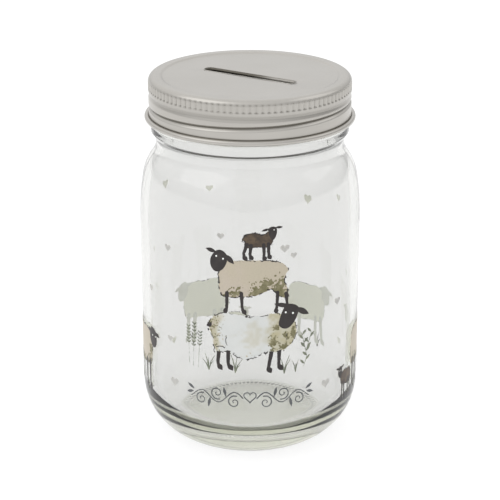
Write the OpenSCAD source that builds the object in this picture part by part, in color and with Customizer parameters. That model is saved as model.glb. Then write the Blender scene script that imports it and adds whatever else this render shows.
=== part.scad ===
// Coin bank jar: a screw-top glass jar, a pressed metal lid with a coin slot, the sealing
// ring inside the lid, and a print in several fired inks on the outside of the glass.
// Millimetres. The origin is the centre of the ring that the jar rests on, +Z is up, and
// the middle of the print faces -Y. The lid is shown screwed fully down.

/* [Overall] */
// Height of the closed jar, up to the raised rim of the lid
total_h = 133.75; // [133:0.05:136]
// Outer radius of the wall where it meets the shoulder
wall_top_r = 39.6; // [39:0.1:40]
// Outer radius of the wall where it meets the base corner
wall_low_r = 39.1; // [38.6:0.1:39.6]
// Thickness of the glass wall
wall_t = 3; // [2.4:0.1:3.4]

/* [Base] */
// Radius of the outer corner at the base
corner_r = 22; // [21:0.5:24]
// Height at which the outer corner meets the wall
corner_z = 20; // [19:0.5:21]
// Radius of the inner corner at the floor
floor_corner_r = 13.5; // [10:0.5:15]
// Height of the inside floor where it meets the inner corner
floor_z = 7.6; // [6.5:0.1:9]
// Height by which the middle of the inside floor is domed
floor_dome = 0.5; // [0.1:0.1:1]
// Inner radius of the resting ring
rest_inner_r = 23.4; // [22:0.1:24]
// Height of the push-up under the base at its centre
pushup_h = 3; // [1.5:0.1:4]
// Number of short grip ribs on the resting ring
rest_ribs = 96; // [48:4:120]
// Height of the grip ribs
rest_rib_h = 0.3; // [0.2:0.05:0.5]

/* [Shoulder and neck] */
// Height at which the wall starts to curve inwards
shoulder_z = 82; // [81:0.5:83]
// Radius of the long curve that starts the shoulder
shoulder_long_r = 92; // [88:1:96]
// Radius of the tight curve at the top of the shoulder
shoulder_tight_r = 19; // [18:0.5:20]
// Radius of the hollow curve into the neck
neck_curve_r = 6; // [5:0.25:7]
// Outer radius of the neck between the bead and the rim
finish_r = 33.5; // [33.2:0.1:33.8]
// Height of the top of the bead below the lid
bead_top_z = 117.5; // [116.5:0.1:117.8]

/* [Screw thread] */
// Rise of the thread in one turn
pitch = 5.08; // [4.8:0.01:5.3]
// Radius at the crest of the glass thread
glass_crest_r = 34.75; // [34.4:0.05:34.9]
// Height of the glass thread where it passes the front
glass_thread_z = 126.4; // [126.2:0.05:126.6]
// Height of the lid thread where it passes the front
lid_thread_z = 123.8; // [123.6:0.05:124]
// Radius at the crest of the thread inside the lid
lid_crest_r = 34.3; // [34:0.05:34.5]

/* [Lid] */
// Outer radius of the upper skirt
lid_r = 36; // [35.9:0.05:36.2]
// Outer radius of the lower skirt, below the step
skirt_r = 35.7; // [35.6:0.05:35.9]
// Thickness of the pressed sheet
sheet_t = 0.45; // [0.4:0.05:0.5]
// Radius of the rounded edge round the top
lid_edge_r = 2; // [1.5:0.1:2.5]
// Depth of the middle panel below the raised rim
panel_drop = 0.5; // [0.3:0.1:0.8]
// Radius of the middle panel
panel_r = 30.6; // [30:0.1:31]
// Height of the step between the upper and the lower skirt
step_z = 128.2; // [127.5:0.1:128.8]
// Number of upright grip grooves round the lid
grip_count = 104; // [80:2:120]
// Height of the lower end of the grip grooves
grip_low_z = 129.4; // [129:0.1:129.8]
// Height of the upper end of the grip grooves
grip_high_z = 132.2; // [131.8:0.1:132.4]
// Radius of the rolled edge at the bottom
curl_r = 0.95; // [0.8:0.05:1]
// Height of the middle of the rolled edge
curl_z = 118.95; // [118.9:0.05:119.2]

/* [Coin slot] */
// Length of the slot
slot_len = 36.5; // [30:0.5:40]
// Width of the slot
slot_w = 3.2; // [2.8:0.1:4]
// Angle of the slot, seen from above, from the left-right direction
slot_angle = -32; // [-90:1:90]
// Depth of the turned-down edge of the slot
slot_lip_h = 1.6; // [1.2:0.1:2.5]
// Radius of the bend at the edge of the slot
slot_bend_r = 0.8; // [0.6:0.1:1]

/* [Sealing ring] */
// Thickness of the ring
ring_t = 0.8; // [0.6:0.05:1]
// Inner radius of the ring
ring_in_r = 31.3; // [31.2:0.1:31.5]
// Outer radius of the ring
ring_out_r = 34; // [33.6:0.1:34]

/* [Print] */
// Thickness of one fired ink layer
ink_t = 0.04; // [0.03:0.01:0.08]

/* [Hidden] */
round_fn = 120;
small_fn = 32;
slot_fn = 48;
arc_step = 6;
gap = 0.05;
merge = 0.2;
FRONT = -90;

lid_in_r = skirt_r - sheet_t;
panel_z = total_h - panel_drop;
panel_step_w = 1.4;
ring_top_z = total_h - sheet_t - gap;
rim_z = ring_top_z - ring_t - gap;
curl_mid_r = skirt_r - merge + curl_r;
slot_straight = slot_len - slot_w;

glass_thread_w = 2.4;
lid_thread_w = 2.3;
lid_groove_w = 1.9;
lid_groove_depth = 0.6;
thread_fade = 5;
thread_sink = 0.3;

corner_x = wall_low_r - corner_r;
rest_outer_r = corner_x + sqrt(corner_r ^ 2 - (corner_z - rest_rib_h) ^ 2);
shoulder_a = 10;
neck_a = 37;
bead_a = 40;
bead_low_r = 1.5;
bead_high_r = 1.2;
long_c = [wall_top_r - shoulder_long_r, shoulder_z];
tight_c = long_c + (shoulder_long_r - shoulder_tight_r) * dir(shoulder_a);
neck_c = tight_c + (shoulder_tight_r + neck_curve_r) * dir(neck_a);
bead_c = neck_c + (neck_curve_r + bead_low_r) * dir(180 - bead_a);
bead_r = bead_c.x + bead_low_r;
bore_r = neck_c.x - neck_curve_r - wall_t;
rim_r = (finish_r - bore_r) / 2;

// Unit vector at an angle from +X
function dir(a) = [cos(a), sin(a)];

// Points along an arc, in steps of at most arc_step degrees
function arc(c, r, from, to) =
    let (n = max(2, ceil(abs(to - from) / arc_step)))
    [for (i = [0:n]) c + r * dir(from + (to - from) * i / n)];

// A smooth rise from one point to another, level at both ends
function ease(from, to, n = 6) =
    [for (i = [0:n]) [from.x + (to.x - from.x) * i / n,
                      from.y + (to.y - from.y) * (1 - cos(180 * i / n)) / 2]];

// The outside of the glass from the base corner to the neck, moved outwards by off
function wall_outline(off, corner_from) = concat(
    arc([corner_x, corner_z], corner_r + off, corner_from, 0),
    shoulder_outline(off));

function shoulder_outline(off) = concat(
    arc(long_c, shoulder_long_r + off, 0, shoulder_a),
    arc(tight_c, shoulder_tight_r + off, shoulder_a, neck_a),
    arc(neck_c, neck_curve_r - off, 180 + neck_a, 180));

// The inside of the glass, from the floor's centre up to the neck
function inside_outline() = concat(
    [for (i = [0:4]) let (x = i / 5)
        [x * (wall_low_r - wall_t - floor_corner_r), floor_z + floor_dome * (1 - x ^ 2)]],
    arc([wall_low_r - wall_t - floor_corner_r, floor_z + floor_corner_r],
        floor_corner_r, -90, 0),
    shoulder_outline(-wall_t));

// The underside, from the resting ring to the centre of the push-up
function underside_outline() = concat(
    ease([rest_inner_r, rest_rib_h], [rest_inner_r - 3, pushup_h * 0.8]),
    [for (i = [3:-1:0]) [i * 5, pushup_h * (1 - 0.2 * (i * 5 / rest_inner_r) ^ 2)]]);

// ---------------------------------------------------------------- screw thread

// A rounded ridge that climbs one pitch a turn. It grows from nothing at each end.
// t is in turns from the front, root and crest are radii, and width is up and down.
module thread(root, crest, width, z, t_from, t_to, steps = 60, thread_sides = 6) {
    n = ceil((t_to - t_from) * steps);
    m = thread_sides + 1;
    sink = sign(root - crest) * thread_sink;
    points = [for (i = [0:n]) let (
            t = t_from + (t_to - t_from) * i / n,
            grow = min(1, (0.2 + min(i, n - i)) / thread_fade),
            a = FRONT + 360 * t)
        for (k = [0:m]) let (
                b = 180 * (min(k, thread_sides)) / thread_sides,
                on_root = k == 0 || k == thread_sides || k == m,
                r = root + (on_root ? sink : 0) + (on_root ? 0 : (crest - root) * grow * sin(b)),
                up = k == m ? 0 : -cos(b) * width / 2)
            [r * cos(a), r * sin(a), z + pitch * t + up]];
    w = m + 1;
    flip = crest < root;
    sides = [for (i = [0:n - 1]) for (k = [0:m]) let (k2 = (k + 1) % w)
        each [[i * w + k, i * w + k2, (i + 1) * w + k2],
              [i * w + k, (i + 1) * w + k2, (i + 1) * w + k]]];
    caps = [[for (k = [m:-1:0]) k], [for (k = [0:m]) n * w + k]];
    faces = concat(sides, caps);
    polyhedron(points, flip ? [for (f = faces) [for (j = [len(f) - 1:-1:0]) f[j]]] : faces,
        convexity = 6);
}

// ---------------------------------------------------------------- glass

module glass_section() {
    polygon(concat(
        underside_outline(),
        inside_outline(),
        [[bore_r, rim_z - rim_r]],
        arc([bore_r + rim_r, rim_z - rim_r], rim_r, 180, 0),
        [[finish_r, bead_top_z + 0.4], [finish_r + 0.4, bead_top_z]],
        arc([bead_r - bead_high_r, bead_top_z - bead_high_r], bead_high_r, 90, 0),
        arc(bead_c, bead_low_r, 0, -bead_a),
        arc(neck_c, neck_curve_r, 180 - bead_a, 180),
        reverse(wall_outline(0, corner_start()))));
}

// Angle at which the base corner reaches the resting ring
function corner_start() = -asin((corner_z - rest_rib_h) / corner_r);

function reverse(v) = [for (i = [len(v) - 1:-1:0]) v[i]];

// The grip ribs that the jar stands on
module rest_rib_ring() {
    rib_w = 0.9;
    linear_extrude(rest_rib_h + merge)
        intersection() {
            difference() {
                circle(rest_outer_r, $fn = round_fn);
                circle(rest_inner_r, $fn = round_fn);
            }
            for (i = [0:rest_ribs - 1])
                rotate(360 * i / rest_ribs)
                    translate([rest_inner_r - 1, -rib_w / 2])
                        square([rest_outer_r - rest_inner_r + 2, rib_w]);
        }
}

module glass_jar() {
    color("#dfe6e1", 0.35) {
        rotate_extrude($fn = round_fn)
            glass_section();
        rest_rib_ring();
        thread(finish_r, glass_crest_r, glass_thread_w, glass_thread_z, -0.7, 0.55);
    }
}

// ---------------------------------------------------------------- lid

// One face of the pressed sheet from the centre to the curl: t is its depth in the sheet
function sheet_outline(t) = concat(
    [[0, panel_z - t]],
    ease([panel_r, panel_z - t], [panel_r + panel_step_w, total_h - t]),
    arc([lid_r - lid_edge_r, total_h - lid_edge_r], lid_edge_r - t, 90, 0),
    [[lid_r - t, step_z], [skirt_r - t, step_z - 0.4], [skirt_r - t, curl_z - 0.3]]);

module curl_section() {
    end_from = 120;
    end_to = 160;
    translate([curl_mid_r, curl_z])
        difference() {
            circle(curl_r, $fn = small_fn);
            circle(curl_r - sheet_t, $fn = small_fn);
            polygon([[0, 0], 2 * curl_r * dir(end_from), 2 * curl_r * dir(end_to)]);
        }
}

// Half of the turned-down edge: x runs out from the middle of the slot, y up from the panel
module slot_edge_section() {
    translate([slot_w / 2 + slot_bend_r, -slot_bend_r])
        intersection() {
            difference() {
                circle(slot_bend_r, $fn = small_fn);
                circle(slot_bend_r - sheet_t, $fn = small_fn);
            }
            translate([-slot_bend_r, 0])
                square(slot_bend_r);
        }
    translate([slot_w / 2, -slot_lip_h])
        square([sheet_t, slot_lip_h - slot_bend_r]);
}

module slot_edge() {
    for (side = [0, 180])
        rotate(side) {
            translate([slot_straight / 2, 0])
                rotate(-90)
                    rotate_extrude(angle = 180, $fn = slot_fn)
                        slot_edge_section();
            rotate([90, 0, 90])
                linear_extrude(slot_straight, center = true)
                    slot_edge_section();
        }
}

// A straight bar with round ends, as long and wide as the slot and its bends
module slot_cutter() {
    w = slot_w + 2 * slot_bend_r;
    cut_h = 4;
    translate([0, 0, -cut_h / 2])
        linear_extrude(cut_h) {
            square([slot_straight, w], center = true);
            for (side = [-1, 1])
                translate([side * slot_straight / 2, 0])
                    circle(w / 2, $fn = slot_fn);
        }
}

module grip_grooves() {
    groove_r = 0.8;
    groove_depth = 0.28;
    translate([0, 0, grip_low_z])
        linear_extrude(grip_high_z - grip_low_z)
            for (i = [0:grip_count - 1])
                rotate(360 * (i + 0.5) / grip_count)
                    translate([lid_r + groove_r - groove_depth, 0])
                        circle(groove_r, $fn = 16);
}

module lid() {
    color("#c5c3be") {
        difference() {
            union() {
                rotate_extrude($fn = round_fn)
                    polygon(concat(sheet_outline(0), reverse(sheet_outline(sheet_t))));
                rotate_extrude($fn = round_fn)
                    curl_section();
                thread(lid_in_r, lid_crest_r, lid_thread_w, lid_thread_z, -0.5, 0.53);
            }
            thread(skirt_r, skirt_r - lid_groove_depth, lid_groove_w, lid_thread_z,
                -0.44, 0.47, 41, 4);
            grip_grooves();
            translate([0, 0, panel_z])
                rotate(slot_angle)
                    slot_cutter();
        }
        translate([0, 0, panel_z])
            rotate(slot_angle)
                slot_edge();
    }
}

// The ring fills the channel under the lid's raised rim, so its inner corner follows the
// step between the rim and the panel.
module sealing_ring() {
    step_drop = panel_drop * (1 + cos(180 * (ring_in_r - panel_r) / panel_step_w)) / 2;
    color("#e9e4d6")
        rotate_extrude($fn = round_fn)
            polygon([
                [ring_in_r, ring_top_z - ring_t],
                [ring_out_r, ring_top_z - ring_t],
                [ring_out_r, ring_top_z],
                [panel_r + panel_step_w, ring_top_z],
                [ring_in_r, ring_top_z - step_drop - 2 * gap]]);
}

// ---------------------------------------------------------------- print shapes
// Each shape is flat: x to the right and y up, as seen from outside the jar.

fine_fn = 16;

function oval(c, a, b, n = 28) =
    [for (i = [0:n - 1]) c + [a * cos(360 * i / n), b * sin(360 * i / n)]];

// The usual heart curve, w wide
module heart(w) {
    k = w / 32;
    polygon([for (a = [0:15:345])
        k * [16 * sin(a) ^ 3, 13 * cos(a) - 5 * cos(2 * a) - 2 * cos(3 * a) - cos(4 * a)]]);
}

// Outline of a leaf from the origin along +X, turned by a and moved to at
function leaf(len, fat = 0.4, a = 0, at = [0, 0]) =
    let (flat = concat(
        [for (i = [0:6]) len * [i / 6, fat / 2 * sin(180 * i / 6)]],
        [for (i = [5:-1:1]) len * [i / 6, -fat / 2 * sin(180 * i / 6)]]))
    [for (p = flat) at + [p.x * cos(a) - p.y * sin(a), p.x * sin(a) + p.y * cos(a)]];

// A fleece: an oval with puffs of wool all round it
module fleece(at, len, high, puffs = 16) {
    puff = high * 0.13;
    polygon(oval(at, len / 2 - puff, high / 2 - puff));
    for (i = [0:puffs - 1])
        let (a = 360 * (i + 0.5) / puffs)
            translate(at + [(len / 2 - puff) * cos(a), (high / 2 - puff) * sin(a)])
                circle(puff, $fn = fine_fn);
}

// A sheep's head: an oval face with a muzzle and two ears
module head(at, high, ears = [160, 15]) {
    polygon(oval(at, high * 0.32, high / 2));
    translate(at - [0, high * 0.3])
        circle(high * 0.26, $fn = fine_fn);
    for (a = ears)
        polygon(leaf(high * 0.65, 0.4, a, at + [0.2 * high * cos(a), 0.3 * high]));
}

module leg(x, top, foot, w) {
    polygon([[x - w * 0.6, top], [x + w * 0.6, top], [x + w * 0.4, foot + w],
        [x + w * 0.6, foot], [x - w * 0.6, foot], [x - w * 0.4, foot + w]]);
}

module legs(xs, top, foot, w) {
    for (x = xs)
        leg(x, top, foot, w);
}

// ---------------------------------------------------------------- the flock in front
// Three sheep stand on one another. White is the lowest, cream the middle one, and the
// brown lamb is on top. Each fleece leaves out what is printed over it in another ink.

module lamb_shape() {
    polygon(oval([1.6, 85.3], 4.5, 2.6));
    polygon(oval([-2.2, 84.2], 1.1, 1.8));
    legs([-2.2, 0.2, 3.6, 5.4], 84.5, 78, 1.1);
    polygon([[3, 84], [6, 84], [8.2, 88], [6, 89]]);
    head([7.6, 88], 3.9);
}

module front_dark_shape() {
    head([-10.8, 77.6], 7.6, [150, 0]);
    legs([-8.2, -2.6], 65, 58, 1.3);
    legs([9.3, 12.3], 65, 60.5, 1.3);
    head([13.4, 57], 7, [160, 10]);
    legs([-11, -7.3, 6.9, 10.3], 43, 36, 1.4);
}

module front_olive_shape() {
    polygon(oval([7.5, 65.8], 6.2, 1.9));
    polygon(oval([-4, 66.3], 4.6, 1.6));
    polygon(oval([12.8, 45.6], 3.2, 4.4));
    polygon(oval([-9.5, 43.6], 3.8, 1.7));
}

module front_cream_shape() {
    fleece([1, 70.4], 24.6, 14.4);
}

module front_white_shape() {
    fleece([1, 49.4], 30.4, 18);
}

// ---------------------------------------------------------------- round the sides
// Lone sheep stand round the sides and back, some with a lamb.

// Angle round the jar of each sheep, and 1 where it looks right or -1 where it looks left
SIDE_SHEEP = [[-78, 1], [82, 1], [143, -1], [-152, 1]];
SIDE_LAMBS = [[62, -1], [-172, -1]];

module side_fleece_shape() {
    fleece([0, 36.5], 21, 15);
}

module side_dark_shape() {
    head([10.6, 41.5], 7, [165, 20]);
    legs([-6.5, -3.5, 5, 8], 32, 20, 1.3);
}

module side_lamb_shape() {
    polygon(oval([0, 26], 3.8, 2.6));
    legs([-2.6, -1, 1.4, 2.8], 26, 18.5, 0.9);
    head([4.2, 28.6], 4, [150, 30]);
}

// ---------------------------------------------------------------- on the glass

ink_from_a = -50;

// The room that one layer of ink takes on the wall. Layer 0 is fired straight on the glass.
module ink_film(layer) {
    rotate_extrude($fn = round_fn)
        polygon(concat(
            wall_outline((layer + 1) * ink_t, ink_from_a),
            reverse(wall_outline(layer * ink_t, ink_from_a))));
}

// Turns a flat shape so that it faces outwards at an angle to the right of the front
module facing(a) {
    reach = 22;
    rotate([0, 0, a])
        translate([0, -reach, 0])
            rotate([90, 0, 0])
                linear_extrude(reach)
                    children();
}

module ink(shade, layer = 1) {
    color(shade)
        intersection() {
            ink_film(layer);
            union() children();
        }
}

module each_side_sheep() {
    for (s = SIDE_SHEEP)
        facing(s[0])
            mirror([s[1] < 0 ? 1 : 0, 0])
                children();
}

module each_side_lamb() {
    for (s = SIDE_LAMBS)
        facing(s[0])
            mirror([s[1] < 0 ? 1 : 0, 0])
                children();
}

// Clear glass would show through the colours, so a pale layer is fired under the flock.
// It is what shows of the far side's print from the front, through the jar.
module print_backing() {
    ink("#c9cdc4", 0) {
        facing(0) {
            front_cream_shape();
            front_white_shape();
            front_dark_shape();
            lamb_shape();
        }
        each_side_sheep() {
            side_fleece_shape();
            side_dark_shape();
        }
        each_side_lamb()
            side_lamb_shape();
    }
}

module print_white() {
    ink("#f3f1ea")
        facing(0)
            difference() {
                front_white_shape();
                front_olive_shape();
                front_dark_shape();
            }
}

module print_cream() {
    ink("#cfc4ab") {
        facing(0)
            difference() {
                front_cream_shape();
                front_olive_shape();
                front_dark_shape();
                lamb_shape();
            }
        each_side_sheep()
            difference() {
                side_fleece_shape();
                side_dark_shape();
            }
    }
}

module print_olive() {
    ink("#8d8a6d")
        facing(0)
            difference() {
                front_olive_shape();
                front_dark_shape();
            }
}

module print_brown() {
    ink("#4d3f36") {
        facing(0)
            lamb_shape();
        each_side_lamb()
            side_lamb_shape();
    }
}

module print_charcoal() {
    ink("#393434") {
        facing(0)
            difference() {
                front_dark_shape();
                lamb_shape();
            }
        each_side_sheep()
            side_dark_shape();
    }
}

// Hearts: angle round the jar, height, width
HEARTS = [[-46.4, 78.6, 3], [-14.8, 86.7, 2.8], [18.2, 82, 2.6], [22.6, 79.2, 2.6],
    [-62.8, 60.3, 2.8], [51.6, 57.7, 3.2], [58, 54, 2.6], [-45.8, 44.6, 2.6],
    [-43, 28.5, 3.8], [43.3, 27.8, 3.8],
    [-156, 80.5, 3.2], [144, 77, 3.4], [116, 82.5, 2.8], [-120, 87, 3.2], [-100, 66, 2.8],
    [96, 58, 3], [176, 62, 3.4], [-128, 23.5, 3], [-108, 30, 2.8], [112, 27, 3.4]];

module print_hearts() {
    for (h = HEARTS)
        ink("#b9b2a6") facing(h[0]) translate([0, h[1]]) heart(h[2]);
}

stem_w = 0.35;

module stem(high) {
    translate([-stem_w / 2, 0])
        square([stem_w, high]);
}

// An ear of wheat on a thin stem
module wheat(high) {
    stem(high * 0.95);
    for (i = [0:4])
        for (side = [-1, 1])
            polygon(leaf(high * 0.15, 0.45, 90 + side * 38, [0, high * (0.5 + 0.1 * i)]));
    polygon(leaf(high * 0.15, 0.45, 90, [0, high * 0.93]));
}

// A twig with leaves on alternate sides
module branch(high) {
    stem(high * 0.95);
    for (i = [0:4])
        polygon(leaf(high * 0.28, 0.4, 90 + (i % 2 == 0 ? 50 : -50), [0, high * (0.2 + 0.16 * i)]));
}

// A tuft of grass: blades that fan out from one root
module tuft(high) {
    for (i = [-2:2])
        polygon(leaf(high * (1 - 0.1 * abs(i)), 0.11, 90 + 15 * i, [0.25 * i, 0]));
}

// Angle round the jar, height of the root and height of each plant
WHEAT = [[-36, 36.5, 14], [-33, 36, 15.5], [-30, 36.5, 13.5]];
BRANCHES = [[29.5, 36.5, 13]];
TUFTS = [[-21.4, 36, 8], [-4.5, 35.5, 7], [19.5, 35.4, 8], [25, 35.6, 6.5]];

module print_sprigs() {
    for (p = WHEAT)
        ink("#8f917b", 2) facing(p[0]) translate([0, p[1]]) wheat(p[2]);
    for (p = BRANCHES)
        ink("#8f917b", 2) facing(p[0]) translate([0, p[1]]) branch(p[2]);
    for (p = TUFTS)
        ink("#8f917b", 2) facing(p[0]) translate([0, p[1]]) tuft(p[2]);
}

// A flowing line under the flock: a wave that swells in the middle
flourish_half = 20;
flourish_z = 27.5;
function flourish(x) = flourish_z + 3.2 * cos(90 * x / flourish_half) * sin(x * 40);

module print_flourish() {
    half_w = 0.22;
    xs = [for (i = [-80:80]) i / 80 * flourish_half];
    ink("#55565a")
        facing(0)
            polygon(concat(
                [for (x = xs) [x, flourish(x) + half_w]],
                [for (x = reverse(xs)) [x, flourish(x) - half_w]]));
}

// ---------------------------------------------------------------- nodes

glass_jar();
lid();
sealing_ring();
print_backing();
print_white();
print_cream();
print_olive();
print_brown();
print_charcoal();
print_hearts();
print_sprigs();
print_flourish();
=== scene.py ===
# %% [markdown]
# # A coin bank jar
# This is a half-litre preserving jar turned into a coin bank. It has four kinds of piece:
# the pressed glass jar, a one-piece screw lid with a coin slot punched in it, the soft
# sealing ring inside the lid, and a picture fired on the outside of the glass in several
# inks. Each is built here over the CAD frame, which fixes the sizes and the motion.

# %% Open the frame
import math

import bpy
import numpy as np
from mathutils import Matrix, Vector


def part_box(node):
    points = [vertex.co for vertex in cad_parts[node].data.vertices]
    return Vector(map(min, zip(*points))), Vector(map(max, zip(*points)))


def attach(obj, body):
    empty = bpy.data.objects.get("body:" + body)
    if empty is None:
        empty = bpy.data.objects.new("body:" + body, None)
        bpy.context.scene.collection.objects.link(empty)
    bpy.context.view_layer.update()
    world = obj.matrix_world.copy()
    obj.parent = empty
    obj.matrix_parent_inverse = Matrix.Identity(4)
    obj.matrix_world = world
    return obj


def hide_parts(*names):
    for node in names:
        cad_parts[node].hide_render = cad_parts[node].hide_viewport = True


MM = 0.001

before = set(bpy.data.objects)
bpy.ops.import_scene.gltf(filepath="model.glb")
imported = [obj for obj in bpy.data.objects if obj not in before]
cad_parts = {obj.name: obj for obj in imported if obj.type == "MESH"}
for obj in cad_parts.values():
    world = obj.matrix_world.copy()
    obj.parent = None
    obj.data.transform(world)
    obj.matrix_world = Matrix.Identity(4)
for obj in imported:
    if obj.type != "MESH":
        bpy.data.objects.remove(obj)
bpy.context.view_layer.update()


def cad_box_mm(node):
    """Lowest and highest corner of a CAD node, in millimetres."""
    low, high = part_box(node)
    return np.array(low) / MM, np.array(high) / MM


_, jar_high = cad_box_mm("glass_jar")
lid_low, lid_high = cad_box_mm("lid")
ring_low, ring_high = cad_box_mm("sealing_ring")
print("lid top at", round(lid_high[2], 2), "mm, glass rim at", round(jar_high[2], 2), "mm")

# %% [markdown]
# ## Helpers for surfaces of revolution
# The jar is blown in a mould that is turned on a lathe, and the lid is pressed over a
# turned punch. Both are surfaces of revolution with small departures from round, such as
# threads and grip ribs. So both are built as a grid: one row for each point of a section
# and one column for each direction round the axis, and a departure from round is added to
# a row's radius.

# %% Points along a section


def direction(degrees):
    """A unit vector at an angle."""
    return np.array([math.cos(math.radians(degrees)), math.sin(math.radians(degrees))])


def arc(centre, radius, start, end, step=3.0):
    """Points on an arc from start to end, in degrees, at most step apart."""
    count = max(2, math.ceil(abs(end - start) / step))
    return [centre + radius * direction(a) for a in np.linspace(start, end, count + 1)]


def line(start, end, step):
    """Points from start to end, at most step apart, without the first."""
    start, end = np.array(start, float), np.array(end, float)
    count = max(1, math.ceil(np.linalg.norm(end - start) / step))
    return [start + (end - start) * t for t in np.linspace(0, 1, count + 1)[1:]]


# %% Soft steps, hills and threads


def smooth(t):
    """0 below 0, 1 above 1, and level at both."""
    t = np.clip(t, 0.0, 1.0)
    return t * t * (3 - 2 * t)


def bump(x):
    """A round hill: 1 at 0, falling to 0 at -1 and 1."""
    return np.where(np.abs(x) < 1, np.cos(np.clip(x, -1, 1) * math.pi / 2) ** 2, 0.0)


def thread_bump(turn, z, front_z, pitch, half_width, first, last, fade=0.08):
    """Height, from 0 to 1, of a right-hand thread at a turn from the front and a height z."""
    height = np.zeros(np.broadcast(turn, z).shape)
    for lap in (-1, 0, 1):
        t = turn + lap
        ends = smooth((t - first) / fade) * smooth((last - t) / fade)
        height = np.maximum(height, bump((z - front_z - pitch * t) / half_width) * ends)
    return height


# %% Meshes


def new_object(name, points, faces, body):
    """A mesh object from points in millimetres, riding on a CAD body."""
    mesh = bpy.data.meshes.new(name)
    mesh.from_pydata((np.asarray(points) * MM).tolist(), [], faces)
    mesh.validate()
    mesh.shade_smooth()
    piece = bpy.data.objects.new(name, mesh)
    bpy.context.scene.collection.objects.link(piece)
    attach(piece, body)
    return piece


def grid_faces(rows, columns, first=0):
    """Quads between neighbouring rows of a grid that closes round the axis."""
    i = np.arange(rows - 1)[:, None] * columns
    j = np.arange(columns)[None, :]
    k = (j + 1) % columns
    quads = np.stack([i + j, i + k, i + columns + k, i + columns + j], axis=-1)
    return (quads.reshape(-1, 4) + first).tolist()


def paint(piece, name, values):
    """Store a number for each point of a piece, for its material to read."""
    piece.data.attributes.new(name, "FLOAT", "POINT").data.foreach_set("value", np.ravel(values))


def revolved(name, radius, height, theta, body):
    """A surface from radius and height grids: rows along the section, columns round the axis."""
    x = radius * np.cos(theta)
    y = radius * np.sin(theta)
    points = np.stack([x, y, np.broadcast_to(height, x.shape)], axis=-1).reshape(-1, 3)
    faces = grid_faces(*x.shape)
    return new_object(name, points, faces, body)


def columns(count):
    """Directions round the axis, and the same in turns from the front of the jar."""
    theta = np.arange(count) * 2 * math.pi / count
    turn = (theta / (2 * math.pi) + 0.25 + 0.5) % 1.0 - 0.5
    return theta[None, :], turn[None, :]


# %% [markdown]
# ## The glass jar
# Soda-lime glass is blown into a two-part iron mould. The wall comes out about 3 mm thick,
# the base thicker, with a push-up so that the jar stands on a ring. Short ribs on that
# ring keep the hot glass off the conveyor, and they show through the base. The neck is
# pressed first, so its rim and screw thread are crisp, with a bead under them that the
# machine holds the jar by. The outline is drawn as arcs that meet smoothly, because that is
# how the mould is turned: each arc's centre lies on the line through the last arc's centre
# and the place where they meet.

# %% Build the jar's section
WALL_T = 3.0
wall_top_r = jar_high[0]
wall_low_r = wall_top_r - 0.5
CORNER_R = 22.0
CORNER_Z = 20.0
SHOULDER_Z = 82.0
LONG_R = 92.0
TIGHT_R = 19.0
NECK_CURVE_R = 6.0
LONG_END = 10.0
TIGHT_END = 37.0
BEAD_LOW_R = 1.5
BEAD_HIGH_R = 1.2
FINISH_R = 33.5
BEAD_TOP_Z = 117.5
FLOOR_Z = 7.6
FLOOR_DOME = 0.5
FLOOR_CORNER_R = 13.5
REST_INNER_R = 23.4
REST_RIB_H = 0.45
REST_RIBS = 96
PUSHUP_H = 3.0
BEAD_JOIN = 140

# %% Find the centre of each arc
corner_c = np.array([wall_low_r - CORNER_R, CORNER_Z])
long_c = np.array([wall_top_r - LONG_R, SHOULDER_Z])
tight_c = long_c + (LONG_R - TIGHT_R) * direction(LONG_END)
neck_c = tight_c + (TIGHT_R + NECK_CURVE_R) * direction(TIGHT_END)
bead_c = neck_c + (NECK_CURVE_R + BEAD_LOW_R) * direction(BEAD_JOIN)
bead_r = bead_c[0] + BEAD_LOW_R
bore_r = neck_c[0] - NECK_CURVE_R - WALL_T
rim_r = (FINISH_R - bore_r) / 2
rim_c = np.array([bore_r + rim_r, jar_high[2] - rim_r])
rest_outer_r = corner_c[0] + math.sqrt(CORNER_R**2 - (CORNER_Z - REST_RIB_H) ** 2)
print("bead radius", round(bead_r, 2), "mm, resting ring from", REST_INNER_R, "to",
      round(rest_outer_r, 2), "mm")

# %% Draw the section


def shoulder(offset):
    """The wall's curve from the top of the straight wall to the neck, moved out by offset."""
    return (
        arc(long_c, LONG_R + offset, 0, LONG_END, 1)
        + arc(tight_c, TIGHT_R + offset, LONG_END, TIGHT_END)[1:]
        + arc(neck_c, NECK_CURVE_R - offset, 180 + TIGHT_END, 180)[1:]
    )


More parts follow.
